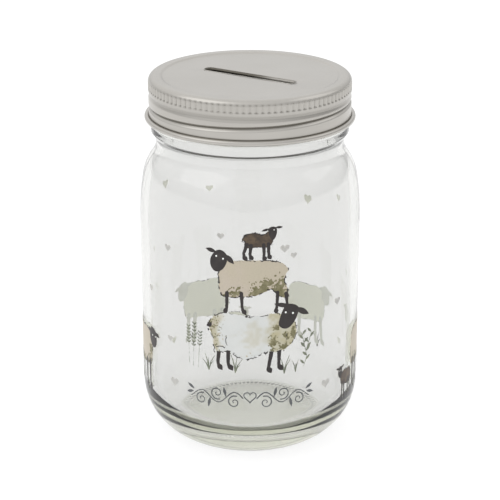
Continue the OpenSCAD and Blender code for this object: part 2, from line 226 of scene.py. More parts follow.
def jar_section():
    """The jar's whole section from under the base to the floor inside, and its outer rows."""
    corner_start = -math.degrees(math.asin((CORNER_Z - REST_RIB_H) / CORNER_R))
    floor_c = np.array([wall_low_r - WALL_T - FLOOR_CORNER_R, FLOOR_Z + FLOOR_CORNER_R])
    push_up = [
        np.array([REST_INNER_R * t, REST_RIB_H + (PUSHUP_H - REST_RIB_H) * (1 - t**3)])
        for t in np.linspace(0.002, 1, 20)
    ]
    rest = line(push_up[-1], [rest_outer_r, REST_RIB_H], 0.2)
    outside = arc(corner_c, CORNER_R, corner_start, 0, 2)[1:]
    outside += line(outside[-1], [wall_top_r, SHOULDER_Z], 5)
    outside += shoulder(0)[1:]
    outside += arc(neck_c, NECK_CURVE_R, 180, BEAD_JOIN)[1:]
    outside += arc(bead_c, BEAD_LOW_R, BEAD_JOIN - 180, 0, 8)[1:]
    bead_high_c = np.array([bead_r - BEAD_HIGH_R, BEAD_TOP_Z - BEAD_HIGH_R])
    outside += arc(bead_high_c, BEAD_HIGH_R, 0, 90, 10)
    outside += [np.array([FINISH_R + 0.4, BEAD_TOP_Z]), np.array([FINISH_R, BEAD_TOP_Z + 0.4])]
    outside += line(outside[-1], [FINISH_R, rim_c[1]], 0.25)
    rim = arc(rim_c, rim_r, 0, 180, 8)[1:]
    inside = line(rim[-1], [bore_r, neck_c[1]], 3)
    inside += shoulder(-WALL_T)[::-1][1:]
    inside += line(inside[-1], floor_c + [FLOOR_CORNER_R, 0], 5)
    inside += arc(floor_c, FLOOR_CORNER_R, 0, -90)[1:]
    floor = [
        np.array([r, FLOOR_Z + FLOOR_DOME * (1 - (r / floor_c[0]) ** 2)])
        for r in np.linspace(floor_c[0], 0.05, 12)[1:]
    ]
    parts = [push_up, rest, outside, rim, inside, floor]
    return np.array([p for part in parts for p in part]), sum(len(p) for p in parts[:3])


section, outer_rows = jar_section()
print("jar section:", len(section), "points, neck bore radius", round(bore_r, 2), "mm")

# %% Turn the section and wind on the screw thread
PITCH = 5.08
GLASS_THREAD_Z = 126.4
GLASS_THREAD_H = 1.25
GLASS_THREAD_HALF_W = 1.3
GLASS_THREAD_TURNS = (-0.7, 0.55)

theta, turn = columns(REST_RIBS * 6)
radius = np.repeat(section[:, :1], theta.shape[1], axis=1)
height = np.repeat(section[:, 1:], theta.shape[1], axis=1)
outside_rows = np.zeros(len(section), bool)
outside_rows[:outer_rows] = True

on_finish = outside_rows[:, None] & (height > BEAD_TOP_Z + 0.3)
glass_thread = thread_bump(
    turn, height, GLASS_THREAD_Z, PITCH, GLASS_THREAD_HALF_W, *GLASS_THREAD_TURNS)
radius += np.where(on_finish, GLASS_THREAD_H * glass_thread, 0)

# %% [markdown]
# Under the base, short ribs stand on the ring that touches the table. Inside, the wall was
# shaped by air and not by iron, so it swells a little. Where the mould's two halves met, a
# fine seam runs up each side.

# %% Add the ribs, the swell inside and the seams
SWELL_MM = (0.10, 0.06)
SEAM_H = 0.05
SEAM_W = 0.006

across = (section[:, 0] - REST_INNER_R) / (rest_outer_r - REST_INNER_R)
on_rest = outside_rows & (section[:, 1] < REST_RIB_H + 0.01) & (across > 0) & (across < 1)
rib = bump((theta * REST_RIBS / (2 * math.pi) % 1.0 - 0.5) * 2.4)
height -= np.where(on_rest, bump(across * 2.2 - 1.1), 0)[:, None] * REST_RIB_H * rib

inner_wall = ~outside_rows[:, None] & (height > FLOOR_Z + 3) & (height < neck_c[1])
swell = SWELL_MM[0] * np.sin(2 * theta + height / 19)
swell += SWELL_MM[1] * np.sin(5 * theta - height / 11)
radius += np.where(inner_wall, swell * bump((height - 58) / 50), 0)

seam = np.exp(-(np.sin(theta) / SEAM_W) ** 2)
on_wall = outside_rows[:, None] & (height > 4) & (height < BEAD_TOP_Z)
radius += np.where(on_wall, SEAM_H * seam, 0)

# %% [markdown]
# The mould's bottom plate is shot-blasted, so the underside comes out stippled, except on
# the ribs, which rub smooth. How rough each point is goes on the mesh for the material.

# %% Make the jar
UNDER_ROUGH = 0.85
RIB_SMOOTHER = 0.65

jar = revolved("jar_glass", radius, height, theta, "jar")
under = outside_rows[:, None] & (height < PUSHUP_H + 0.01) & (radius < rest_outer_r + 0.01)
paint(jar, "stippled", under * (UNDER_ROUGH - RIB_SMOOTHER * on_rest[:, None] * rib))
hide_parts("glass_jar")
print("jar mesh:", len(jar.data.polygons), "faces")

# %% [markdown]
# ## The lid
# A one-piece lid is stamped from tinplate. A press draws it into a cup with a raised rim,
# rolls short upright grips into the skirt, rolls the screw thread into it, and curls the
# cut edge outwards. A last punch opens the slot and turns its edge down so that it can't
# cut a finger. The sheet is one thickness all over, so its middle surface is built first
# and then thickened.

# %% Lay out the lid's middle surface
SHEET_T = 0.3
GRIPS = 104
GRIP_DEPTH = 0.32
GRIP_LOW_Z = 129.3
GRIP_HIGH_Z = 132.3
STEP_Z = 128.2
EDGE_R = 2.0
PANEL_DROP = 0.5
PANEL_R = 30.6
PANEL_STEP_W = 1.4
LID_R = 36.0
SKIRT_R = 35.75
CURL_R = 0.8
SLOT_LEN = 36.5
SLOT_W = 3.2
SLOT_ANGLE = -32.0
SLOT_BEND_R = 0.8
SLOT_LIP_H = 1.6

# %% Make the lid's section, which opens from the slot's outline to a circle
half = SHEET_T / 2
lid_top = lid_high[2] - half
panel_z = lid_top - PANEL_DROP
curl_c = np.array([lid_high[0] - half - CURL_R, lid_low[2] + half + CURL_R])


def slot_radius(grow, theta):
    """Distance from the lid's axis to a slot outline that is grown by grow, in mm."""
    straight = (SLOT_LEN - SLOT_W) / 2
    w = SLOT_W / 2 + grow
    a = theta - math.radians(SLOT_ANGLE)
    c, s = np.abs(np.cos(a)), np.abs(np.sin(a))
    to_side = w / np.maximum(s, 1e-9)
    to_end = straight * c + np.sqrt(np.maximum(w**2 - (straight * s) ** 2, 0))
    return np.where(to_side * c <= straight, to_side, to_end)


def lid_rows(theta):
    """Radius and height rows of the lid's middle surface, from the slot to the curl."""
    rows = []
    for z in np.linspace(-SLOT_LIP_H, -SLOT_BEND_R, 5):
        rows.append((slot_radius(half, theta), panel_z + half + z))
    for a in np.linspace(0, 90, 8)[1:]:
        grow = half + (SLOT_BEND_R - half) * (1 - math.cos(math.radians(a)))
        drop = (SLOT_BEND_R - half) * (1 - math.sin(math.radians(a)))
        rows.append((slot_radius(grow, theta), panel_z - drop))
    edge = slot_radius(SLOT_BEND_R, theta)
    for t in np.linspace(0, 1, 26)[1:]:
        rows.append((edge + (PANEL_R - edge) * t**1.5, panel_z))
    for t in np.linspace(0, 1, 9)[1:]:
        rows.append((PANEL_R + PANEL_STEP_W * t, panel_z + PANEL_DROP * smooth(t)))
    rim = np.linspace(PANEL_R + PANEL_STEP_W, LID_R - half - EDGE_R, 4)
    rows += [(r, lid_top) for r in rim[1:]]
    edge_c = np.array([LID_R - half - EDGE_R, lid_top - EDGE_R])
    rows += [tuple(p) for p in arc(edge_c, EDGE_R, 90, 0, 8)[1:]]
    down = line([LID_R - half, edge_c[1]], [LID_R - half, STEP_Z], 0.15)
    down += line(down[-1], [SKIRT_R, STEP_Z - 0.5], 0.12)
    down += line(down[-1], [SKIRT_R, curl_c[1] + 0.35], 0.15)
    rows += [tuple(p) for p in down]
    rows += [tuple(p) for p in arc(curl_c, CURL_R, 172, 490, 12)]
    full = np.ones_like(theta)
    return np.concatenate([r * full for r, _ in rows]), np.concatenate([z * full for _, z in rows])


theta, turn = columns(GRIPS * 10)
radius, height = lid_rows(theta)
print("lid grid:", radius.shape)

# %% Roll in the grips, the thread and a shallow valley between them
LID_THREAD_Z = 123.8
LID_THREAD_DEPTH = 0.75
LID_THREAD_HALF_W = 1.15
LID_THREAD_TURNS = (-0.5, 0.53)
VALLEY_Z = 127.3
VALLEY_DEPTH = 0.3

upright = (radius > LID_R - 1) & (height > curl_c[1] + CURL_R)
grip = (0.5 + 0.5 * np.cos(theta * GRIPS)) ** 1.5
grip_window = smooth((height - GRIP_LOW_Z) / 0.25) * smooth((GRIP_HIGH_Z - height) / 0.25)
radius -= np.where(upright, GRIP_DEPTH * grip * grip_window, 0)

lid_thread = thread_bump(
    turn, height, LID_THREAD_Z, PITCH, LID_THREAD_HALF_W, *LID_THREAD_TURNS)
radius -= np.where(upright, LID_THREAD_DEPTH * lid_thread, 0)

radius -= np.where(upright, VALLEY_DEPTH * bump((height - VALLEY_Z) / 1.5), 0)

# %% [markdown]
# The shade that gathers in the lid's creases is painted into its colour. Each point carries how
# deep in a crease it is, from 0 to 1, and the tinplate is darkened by it as painted shade: in
# the thread, over the curl, at both ends of each grip, and on the lips of the slot.

# %% Paint shade into the lid's creases
GRIP_END_TONE = 0.7
GRIP_TONE = 0.12
VALLEY_TONE = 0.30
LIP_TONE = 0.5

# Painted shade: bands at both ends of each grip, lines over the curl and in the valley, and the thread
# groove.
grip_ends = np.exp(-((height - GRIP_LOW_Z - 0.2) / 0.25) ** 2)
grip_ends += np.exp(-((height - GRIP_HIGH_Z + 0.2) / 0.25) ** 2)
crease = np.exp(-((height - curl_c[1] - CURL_R - 0.1) / 0.35) ** 2)
crease += VALLEY_TONE * np.exp(-((height - VALLEY_Z - 0.2) / 0.8) ** 2)
grip_tone = GRIP_END_TONE * grip * grip_ends + GRIP_TONE * grip * grip_window
painted_shade = np.where(upright, lid_thread**4 + crease + grip_tone, 0)
# Painted shade on the slot's lips: dark at one end of the slot and paler towards the other.
along_slot = radius * np.cos(theta - math.radians(SLOT_ANGLE)) / (SLOT_LEN / 2)
in_slot = (height < panel_z - 0.05) & (radius < SLOT_LEN / 2 + SLOT_BEND_R) & ~upright
slot_tone = 1.0 - 0.85 * smooth(along_slot * 1.3 + 0.25)
slot_tone += LIP_TONE * bump((panel_z - height - 0.2) / 0.3)
painted_shade = np.where(in_slot, slot_tone, painted_shade)
print("points in a crease:", int((painted_shade > 0.5).sum()), "of", painted_shade.size)

# %% Let the panel sag a little round the slot, and make the lid
SAG = 0.22
SAG_REACH = 3.0

from_slot = radius - slot_radius(SLOT_BEND_R, theta)
on_panel = (radius < PANEL_R) & (height > panel_z - 0.01)
height -= np.where(on_panel, SAG * np.exp(-np.maximum(from_slot, 0) / SAG_REACH), 0)

lid = revolved("lid_shell", radius, height, theta, "lid")
# The painted shade is stored on the points, for the tinplate material to darken by.
paint(lid, "painted_shade", np.clip(painted_shade, 0, 1))
thicken = lid.modifiers.new("sheet", "SOLIDIFY")
thicken.thickness = SHEET_T * MM
thicken.offset = 0
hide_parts("lid")
print("lid mesh:", len(lid.data.polygons), "faces before it is thickened")

# %% [markdown]
# ## The sealing ring
# The ring is plastisol, a soft vinyl that is squirted into the lid's channel as a paste
# and baked. Surface tension rounds its edges, and screwing the lid down presses a shallow
# groove where the glass rim bites.

# %% Turn the sealing ring
RING_COLUMNS = 192
RING_ROUND = 0.8
BITE_DEPTH = 0.08
BITE_HALF_W = 0.9

ring_in, ring_out = 31.3, ring_high[0]
ring_mid = (ring_in + ring_out) / 2
ring_half = (ring_high[2] - ring_low[2]) / 2
ring_points = []
for corner, start in (((-1, -1), 180), ((1, -1), 270), ((1, 1), 0), ((-1, 1), 90)):
    centre = np.array([
        ring_mid + corner[0] * ((ring_out - ring_in) / 2 - ring_half * RING_ROUND),
        ring_low[2] + ring_half + corner[1] * ring_half * (1 - RING_ROUND),
    ])
    ring_points += arc(centre, ring_half * RING_ROUND, start, start + 90, 15)
ring_section = np.array(ring_points + ring_points[:1])
underneath = ring_section[:, 1] < ring_low[2] + 0.2
bite = bump((ring_section[:, 0] - rim_c[0]) / BITE_HALF_W) * underneath
ring_section[:, 1] += BITE_DEPTH * bite
theta, turn = columns(RING_COLUMNS)
ring = revolved(
    "sealing_ring_liner",
    np.repeat(ring_section[:, :1], RING_COLUMNS, axis=1),
    np.repeat(ring_section[:, 1:], RING_COLUMNS, axis=1),
    theta,
    "ring",
)
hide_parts("sealing_ring")
print("ring mesh:", len(ring.data.polygons), "faces")

# %% [markdown]
# ## How the picture is built
# The picture is a ceramic transfer: each ink is screen-printed on a sheet, slid onto the
# jar and fired until it fuses with the glass. So each ink is one thin layer that lies on
# the wall. A layer is drawn as a field: a number for each place on the unrolled wall,
# above zero where there is ink. Shapes are joined by taking the larger field and cut by
# taking the smaller, and the edge of the ink is traced where the field crosses zero.

# %% Find the wall's radius at each height
WALL_R = 39.4


def wall_radius(z):
    """Outer radius of the straight wall, and of the corner and shoulder next to it."""
    straight = wall_low_r + 0.5 * np.clip((z - CORNER_Z) / (SHOULDER_Z - CORNER_Z), 0, 1)
    low = corner_c[0] + np.sqrt(np.maximum(CORNER_R**2 - (CORNER_Z - z) ** 2, 0))
    high = long_c[0] + np.sqrt(LONG_R**2 - (z - SHOULDER_Z) ** 2)
    return np.where(z < CORNER_Z, low, np.where(z > SHOULDER_Z, high, straight))


# %% Trace where a field is above zero


def traced(field, left, right, low, high, cell, lift):
    """Points and faces where field(s, z) is above zero: s runs right along the wall, z up."""
    s = np.arange(left, right + cell, cell)
    z = np.arange(low, high + cell, cell)
    ss, zz = np.meshgrid(s, z)
    f = field(ss, zz)
    f[0, :] = f[-1, :] = -1
    f[:, 0] = f[:, -1] = -1
    inside = f > 0

    across = inside[:, :-1] != inside[:, 1:]
    upward = inside[:-1, :] != inside[1:, :]
    tx = f[:, :-1] / np.where(across, f[:, :-1] - f[:, 1:], 1)
    tz = f[:-1, :] / np.where(upward, f[:-1, :] - f[1:, :], 1)
    node_id = np.cumsum(inside).reshape(inside.shape) - 1
    across_id = np.cumsum(across).reshape(across.shape) - 1 + inside.sum()
    upward_id = np.cumsum(upward).reshape(upward.shape) - 1 + inside.sum() + across.sum()
    flat = np.concatenate([
        np.stack([ss[inside], zz[inside]], 1),
        np.stack([(ss[:, :-1] + tx * cell)[across], zz[:, :-1][across]], 1),
        np.stack([ss[:-1, :][upward], (zz[:-1, :] + tz * cell)[upward]], 1),
    ])

    corners = [node_id[:-1, :-1], node_id[:-1, 1:], node_id[1:, 1:], node_id[1:, :-1]]
    sides = [across_id[:-1, :], upward_id[:, 1:], across_id[1:, :], upward_id[:, :-1]]
    case = (
        inside[:-1, :-1] * 1 + inside[:-1, 1:] * 2 + inside[1:, 1:] * 4 + inside[1:, :-1] * 8
    )
    faces = []
    for kind in range(1, 16):
        here = case == kind
        loop = []
        for k in range(4):
            this, after = kind >> k & 1, kind >> (k + 1) % 4 & 1
            if this:
                loop.append(corners[k][here])
            if this != after:
                loop.append(sides[k][here])
        faces += np.stack(loop, 1).tolist()

    angle = flat[:, 0] / WALL_R
    r = wall_radius(flat[:, 1]) + lift
    points = np.stack([r * np.sin(angle), -r * np.cos(angle), flat[:, 1]], 1)
    return points, faces


# %% Print a layer


def ink_layer(name, patches, cell, lift, node):
    """One ink: every patch is (field, left, right, low, high) on the unrolled wall."""
    points, faces = [], []
    for field, left, right, low, high in patches:
        p, f = traced(field, left, right, low, high, cell, lift)
        start = sum(len(q) for q in points)
        points.append(p)
        faces += [[i + start for i in face] for face in f]
    layer = new_object(name, np.concatenate(points), faces, "jar")
    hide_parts(node)
    print(name, "has", len(faces), "faces")
    return layer


# %% [markdown]
# ## Drawing tools
# The picture is loose watercolour and pen work, so no edge is quite clean. A soft random
# field, made by blending a fixed table of random numbers, is added to the shapes to make
# their edges wander, to break up pen lines and to scatter specks.

# %% Soft random fields
random_table = np.random.default_rng(7).random((256, 256))


def wander(s, z, size, seed=0):
    """A soft random field from -1 to 1 whose lumps are about size mm across."""
    x, y = s / size + 17.3 * seed, z / size + 5.1 * seed
    i, j = np.floor(x).astype(int), np.floor(y).astype(int)
    u, v = smooth(x - i), smooth(y - j)

    def table(a, b):
        return random_table[a % 256, b % 256]

    low = table(i, j) * (1 - u) + table(i + 1, j) * u
    high = table(i, j + 1) * (1 - u) + table(i + 1, j + 1) * u
    return 2 * (low * (1 - v) + high * v) - 1


# %% Joining, cutting and outlines


def union(*fields):
    """Ink wherever any of the fields has it."""
    return np.maximum.reduce(fields)


def without(field, *others):
    """A field with the others cut out of it."""
    return np.minimum.reduce([field] + [-other for other in others])


def outline(points, steps=6):
    """A smooth closed curve through a few points."""
    p = np.array(points, float)
    a, b, c, d = (np.roll(p, k, axis=0)[:, None] for k in (1, 0, -1, -2))
    t = (np.arange(steps) / steps)[None, :, None]
    curve = 2 * b + (c - a) * t + (2 * a - 5 * b + 4 * c - d) * t**2
    curve += (3 * b - a - 3 * c + d) * t**3
    return (curve / 2).reshape(-1, 2)


def blob(s, z, points):
    """How far each place is inside a smooth outline, and below zero outside it."""
    curve = outline(points)
    nearest = np.full(s.shape, 1e9)
    inside = np.zeros(s.shape, bool)
    for p, q in zip(curve, np.roll(curve, -1, axis=0)):
        d = q - p
        t = np.clip(((s - p[0]) * d[0] + (z - p[1]) * d[1]) / (d @ d), 0, 1)
        nearest = np.minimum(nearest, np.hypot(s - p[0] - t * d[0], z - p[1] - t * d[1]))
        if d[1]:
            crossed = (p[1] > z) != (q[1] > z)
            inside ^= crossed & (s < p[0] + (z - p[1]) * d[0] / d[1])
    return np.where(inside, nearest, -nearest)


# %% Strokes, leaves, dots and hearts


def stroke(s, z, points, widths):
    """A brush stroke through points, with a width at each of them."""
    field = np.full(s.shape, -9.0)
    for p, q, wide, narrow in zip(points, points[1:], widths, widths[1:]):
        d = np.subtract(q, p)
        t = np.clip(((s - p[0]) * d[0] + (z - p[1]) * d[1]) / max(d @ d, 1e-9), 0, 1)
        away = np.hypot(s - p[0] - t * d[0], z - p[1] - t * d[1])
        field = np.maximum(field, (wide + (narrow - wide) * t) / 2 - away)
    return field


def leaf(s, z, root, tip, width):
    """A leaf that is pointed at both ends."""
    root, along = np.array(root), np.subtract(tip, root)
    length = np.hypot(*along)
    c, n = along / length
    x = (s - root[0]) * c + (z - root[1]) * n
    y = (z - root[1]) * c - (s - root[0]) * n
    side = width / 2 * np.sin(math.pi * np.clip(x / length, 0, 1)) - np.abs(y)
    return np.minimum(side, np.minimum(x, length - x) + 0.05)


def dot(s, z, at, radius):
    """A round dot."""
    return radius - np.hypot(s - at[0], z - at[1])


def heart(s, z, at, width):
    """The usual heart curve, as a smooth outline."""
    curve = []
    for a in np.radians(np.arange(0, 360, 24)):
        y = 13 * math.cos(a) - 5 * math.cos(2 * a) - 2 * math.cos(3 * a) - math.cos(4 * a)
        curve.append((at[0] + width / 32 * 16 * math.sin(a) ** 3, at[1] + width / 32 * y))
    return blob(s, z, curve)


# %% [markdown]
# ## The flock
# All sheep are drawn the same way, so one class holds an animal's outlines and gives the
# field for each ink: the fleece, the dark head and legs, a broken pen line round the
# fleece, and a silhouette for the pale backing. An animal can be drawn anywhere and
# flipped, which is how the four lone sheep round the sides come from one drawing.

# %% Describe an animal


class Sheep:
    """An animal in outline; at moves it along the wall, and flip is -1 to mirror it."""

    def __init__(self, fleece, head, ears, eyes, eye_r, legs, leg_w, seed, at=(0, 0), flip=1):
        self.outlines = {"fleece": fleece, "head": head}
        self.ears, self.eyes, self.eye_r = ears, eyes, eye_r
        self.legs, self.leg_w, self.seed = legs, leg_w, seed
        self.at, self.flip = at, flip

    def local(self, s, z):
        """Places on the wall seen from where the animal stands."""
        return (s - self.at[0]) * self.flip, z - self.at[1]

    def fleece(self, s, z):
        x, y = self.local(s, z)
        curls = 0.20 * wander(s, z, 1.3, self.seed) + 0.14 * wander(s, z, 0.5, self.seed + 1)
        return blob(x, y, self.outlines["fleece"]) + curls

    def head(self, s, z):
        x, y = self.local(s, z)
        ears = [leaf(x, y, root, tip, width) for root, tip, width in self.ears]
        return union(blob(x, y, self.outlines["head"]), *ears)

    def eye_dots(self, s, z):
        x, y = self.local(s, z)
        return union(*[dot(x, y, eye, self.eye_r) for eye in self.eyes])

    def leg_strokes(self, s, z):
        x, y = self.local(s, z)
        w = self.leg_w
        legs = [stroke(x, y, leg[:3], [w * 1.35, w, w]) for leg in self.legs]
        hooves = []
        for *_, a, b in self.legs:
            heel, toe = (a[0] - 0.4 * w, a[1] + 0.9 * w), (b[0] + 0.7 * w, b[1] - 0.3 * w)
            hooves.append(leaf(x, y, heel, toe, w * 1.7))
        return union(*legs, *hooves) + 0.08 * wander(s, z, 0.6, self.seed + 2)

    def silhouette(self, s, z):
        """The whole animal."""
        return union(self.fleece(s, z), self.head(s, z), self.leg_strokes(s, z))

    def dark(self, s, z):
        """Head and legs, with the eyes left open and the legs behind the head."""
        head = without(self.head(s, z), self.eye_dots(s, z))
        behind = np.minimum(self.leg_strokes(s, z), -self.head(s, z))
        return union(head, behind)

    def pen_line(self, s, z, width=0.30, gaps=0.3):
        """A pen line that follows the fleece, skips here and there and flicks off in hairs."""
        edge = self.fleece(s, z) - 0.1
        swell = width * (0.5 + 0.35 * wander(s, z, 1.7, self.seed + 3))
        skips = wander(s, z, 1.1, self.seed + 4) + gaps
        hairs = np.minimum(0.45 - np.abs(edge), 0.35 * wander(s, z, 0.35, self.seed + 5) - 0.15)
        return np.minimum(union(swell - np.abs(edge), hairs), skips)

    def box(self, margin=1.0):
        """Left, right, low and high of the whole animal on the unrolled wall."""
        feet = [point for leg in self.legs for point in leg]
        tips = [point for root, tip, width in self.ears for point in (root, tip)]
        p = np.array(self.outlines["fleece"] + self.outlines["head"] + feet + tips)
        s, z = p[:, 0] * self.flip + self.at[0], p[:, 1] + self.at[1]
        return s.min() - margin, s.max() + margin, z.min() - margin, z.max() + margin


# %% [markdown]
# ## Three sheep in front
# The front shows three animals standing on one another: a brown lamb, a beige sheep that
# looks back to the left, and a white sheep that bows its head to the right.

# %% Draw the lamb on top
top_lamb = Sheep(
    fleece=[(-2.8, 85.3), (-2.3, 87), (-0.9, 87.8), (2, 88), (4.6, 87.6), (6.4, 88.6), (8.2, 87),
            (8, 85.2), (7, 83.4), (5.4, 82.8), (3.2, 82.8), (0, 82.6), (-1.6, 83), (-1.9, 84.8)],
    head=[(6.4, 89.6), (7.8, 90.2), (9.1, 89.7), (9.3, 88), (8.7, 86.2), (7.7, 85.4), (6.8, 86.6),
          (6.3, 88.2)],
    ears=[((6.8, 89.5), (3.9, 88.7), 0.9), ((8.7, 89.8), (11.5, 89.8), 0.9)],
    eyes=[(6.9, 88.6), (8.3, 89)], eye_r=0.2,
    legs=[[(-1.1, 84), (-2.1, 80.9), (-2, 79.2), (-1.7, 78.3)],
          [(0.3, 83.6), (0, 80.7), (0.1, 79.3), (0.4, 78.6)],
          [(4.7, 83.8), (4.8, 80.5), (4.8, 79), (4.9, 78.2)],
          [(6.3, 84), (6.4, 80.8), (6.5, 79.4), (6.6, 78.7)]],
    leg_w=1.0, seed=3)

# %% Draw the sheep in the middle
middle_sheep = Sheep(
    fleece=[(-10.9, 74.4), (-11, 69.7), (-10.5, 66.1), (-8.8, 64.6), (-4.1, 64.4), (0.8, 65),
            (4.7, 66.3), (7.3, 67.3), (9.4, 65.3), (11.5, 64), (13.5, 64.1), (13.2, 67),
            (12.4, 70), (12.5, 72.4), (13.5, 74), (12, 76.1), (9.5, 77.6), (5.4, 78.1),
            (0, 78.1), (-5, 78), (-8.7, 77.4)],
    head=[(-10.8, 81.7), (-12.5, 80.6), (-13.8, 78.3), (-13.8, 75.8), (-12.8, 74.1),
          (-11.3, 73.6), (-9.5, 74.6), (-8.2, 76.8), (-7.8, 79.3), (-8.9, 81.1)],
    ears=[((-11.6, 80.8), (-15.6, 81.8), 1.5), ((-8.6, 80.2), (-5.5, 76.8), 1.9)],
    eyes=[(-11.7, 79.3), (-9.3, 78.5)], eye_r=0.32,
    legs=[[(-8, 66), (-8.1, 60.6), (-8.4, 59.4), (-9, 58.7)],
          [(-3, 66), (-2.7, 61), (-2.4, 59.4), (-2, 58.4)],
          [(9.6, 66), (9.4, 61.6), (9.2, 59.6), (8.8, 58.5)],
          [(12.7, 65.4), (13, 62), (13.2, 60), (13.4, 59)]],
    leg_w=1.0, seed=11)

# %% Draw the sheep at the bottom
bottom_sheep = Sheep(
    fleece=[(-9.3, 58.8), (-5.6, 58.3), (1.1, 57.5), (8, 58.3), (11, 58), (15.6, 55.6),
            (16.5, 52.5), (16.5, 50), (15.5, 47.2), (12.6, 44.5), (9.4, 43.7), (6.5, 43.8),
            (2.3, 42.3), (-0.6, 41.4), (-3.7, 41.7), (-5.4, 42.9), (-7.6, 44), (-11.8, 43.6),
            (-12.9, 46.4), (-13.3, 49.2), (-14.5, 52), (-15, 54.2), (-12.8, 56.8)],
    head=[(13, 61.3), (11.5, 59.2), (10.5, 56.4), (10.1, 54), (11.2, 52.6), (13, 52.2),
          (14.6, 53), (16.2, 55), (17.2, 57.3), (17.6, 59.3), (15.8, 60.9)],
    ears=[((14.5, 60.4), (8.3, 61.9), 1.7), ((16.2, 59.6), (21.6, 56.3), 2.2)],
    eyes=[(12.6, 58.3), (15.3, 57.7)], eye_r=0.36,
    legs=[[(-10.9, 45), (-11.4, 40), (-11.1, 38.2), (-10.6, 37.2)],
          [(-7.6, 45.4), (-7.7, 40), (-7.3, 38.3), (-6.8, 37.3)],
          [(7.7, 45), (6.8, 39.6), (6.5, 37.4), (6.8, 36.2)],
          [(10.4, 45), (10.2, 40), (10.3, 38), (10.9, 36.9)]],
    leg_w=1.2, seed=19)
stack = [bottom_sheep, middle_sheep, top_lamb]
for sheep in stack:
    print("sheep from", [round(float(v), 1) for v in sheep.box(0)])

# %% [markdown]
# ## Round the sides
# Lone sheep graze round the sides and the back, two of them with a lamb. From the front
# their pale backing shows through the jar.

# %% Draw the lone sheep and lambs
SIDE_SHEEP = ((-78, 1, 31), (82, 1, 41), (143, -1, 53), (-152, 1, 61))
SIDE_LAMBS = ((62, -1, 71), (-170, -1, 83))


def along_wall(angle):
    """How far round the wall an angle is from the front, in mm."""
    return math.radians(angle) * WALL_R


def side_sheep(angle, flip, seed):
    """A grazing sheep; flip is 1 to look right or -1 to look left."""
    return Sheep(
        fleece=[(-10, 38), (-9, 42), (-5, 43.7), (0, 43.3), (5, 43.8), (9, 42.6), (10.4, 39),
                (10.2, 34), (8.6, 30.4), (5, 29.4), (0, 29), (-5, 28.6), (-9.4, 29.6), (-10.4, 33.6)],
        head=[(10.4, 45.2), (8.9, 44.2), (8.3, 41.6), (9, 39.2), (10.8, 37.7), (12.6, 37.9),
              (13.7, 39.6), (13.7, 42), (12.9, 44.3)],
        ears=[((9.6, 43.6), (6.4, 43.4), 1.5), ((12.6, 43.6), (15.8, 42.6), 1.5)],
        eyes=[(10.6, 42), (12.8, 42)], eye_r=0.3,
        legs=[[(-7.4, 30.6), (-7.8, 24), (-7.6, 21.6), (-7.2, 20.4)],
              [(-4.2, 30.4), (-4.2, 24.4), (-4, 22), (-3.5, 20.9)],
              [(4.6, 30.6), (4.6, 24), (4.7, 21.6), (5.1, 20.4)],
              [(7.8, 31), (7.9, 24.4), (8, 22), (8.5, 20.9)]],
        leg_w=1.3, seed=seed, at=(along_wall(angle), 0), flip=flip)


def side_lamb(angle, flip, seed):
    """A lamb that stands beside its mother."""
    return Sheep(
        fleece=[(-4, 26.4), (-3, 28.8), (0, 29.3), (3, 28.9), (4.2, 27.2), (3.6, 24.2), (0, 23.6),
                (-3.4, 23.8)],
        head=[(3.7, 31.4), (3.1, 30), (3.4, 28.2), (4.4, 27), (5.4, 27.6), (5.8, 29.4), (5.2, 31.2)],
        ears=[((3.8, 30.8), (1.8, 31.4), 0.9), ((5.1, 30.8), (7.1, 31), 0.9)],
        eyes=[(4, 29.8), (5.1, 29.8)], eye_r=0.18,
        legs=[[(-2.8, 25), (-3.1, 20.8), (-3, 19.6), (-2.7, 18.9)],
              [(-1.4, 25), (-1.3, 21), (-1.2, 19.8), (-0.9, 19.2)],
              [(1.6, 25), (1.6, 20.8), (1.7, 19.6), (1.9, 18.9)],
              [(3, 25), (3.1, 21), (3.2, 19.8), (3.5, 19.2)]],
        leg_w=0.75, seed=seed, at=(along_wall(angle), 0), flip=flip)


flock = [side_sheep(*place) for place in SIDE_SHEEP]
lambs = [side_lamb(*place) for place in SIDE_LAMBS]
print("lone sheep:", len(flock), "lambs:", len(lambs))

# %% [markdown]
# ## Hearts
# Small grey hearts are scattered all round the jar. A heart is a patch of ink, with a box
# round it so that only a small part of the wall has to be searched for its edge.

# %% Place the hearts
# Angle round the jar in degrees, height and width in mm
HEARTS = (
    (-46.4, 78.6, 3.0), (-14.8, 86.7, 2.6), (17.6, 82.0, 3.3), (22.4, 79.2, 2.4),
    (-62.8, 60.3, 2.8), (51.4, 57.7, 3.2), (-45.8, 44.6, 2.6),
    (-43, 28.5, 3.8), (43.3, 27.8, 3.8),
    (-156, 80.5, 3.2), (144, 77, 3.8), (116, 82.5, 3.2), (-120, 87, 4.4), (-100, 66, 2.8),
    (96, 58, 3.0), (-128, 23.5, 3.0), (-108, 30, 2.8), (112, 27, 3.4),
)


def one_heart(angle, height, width):
    """A heart as a patch: its field and the box round it."""
    at = (along_wall(angle), height)

    def field(s, z):
        return heart(s, z, at, width) + 0.05 * wander(s, z, 0.5, 131)

    return field, at[0] - width, at[0] + width, height - width, height + width


# %% [markdown]
# ## The backing
# Clear glass would show through the colours, so a pale ink is printed under every animal
# and heart. From inside the jar it is all that shows, a touch darker where the heads and
# legs lie on it, so the mesh carries that as an attribute for the material.

# %% Print the pale backing
FLAT_CELL = 0.22
FINE_CELL = 0.11


def wall_places(piece):
    """Where each point of a print layer is on the unrolled wall."""
    p = np.array([v.co for v in piece.data.vertices]) / MM
    return np.arctan2(p[:, 0], -p[:, 1]) * WALL_R, p[:, 2]


def hidden_by(sheep_above, field):
    """Cut away what the animals standing on top cover."""
    def cut(s, z):
        return without(field(s, z), *[sheep.silhouette(s, z) for sheep in sheep_above])
    return cut


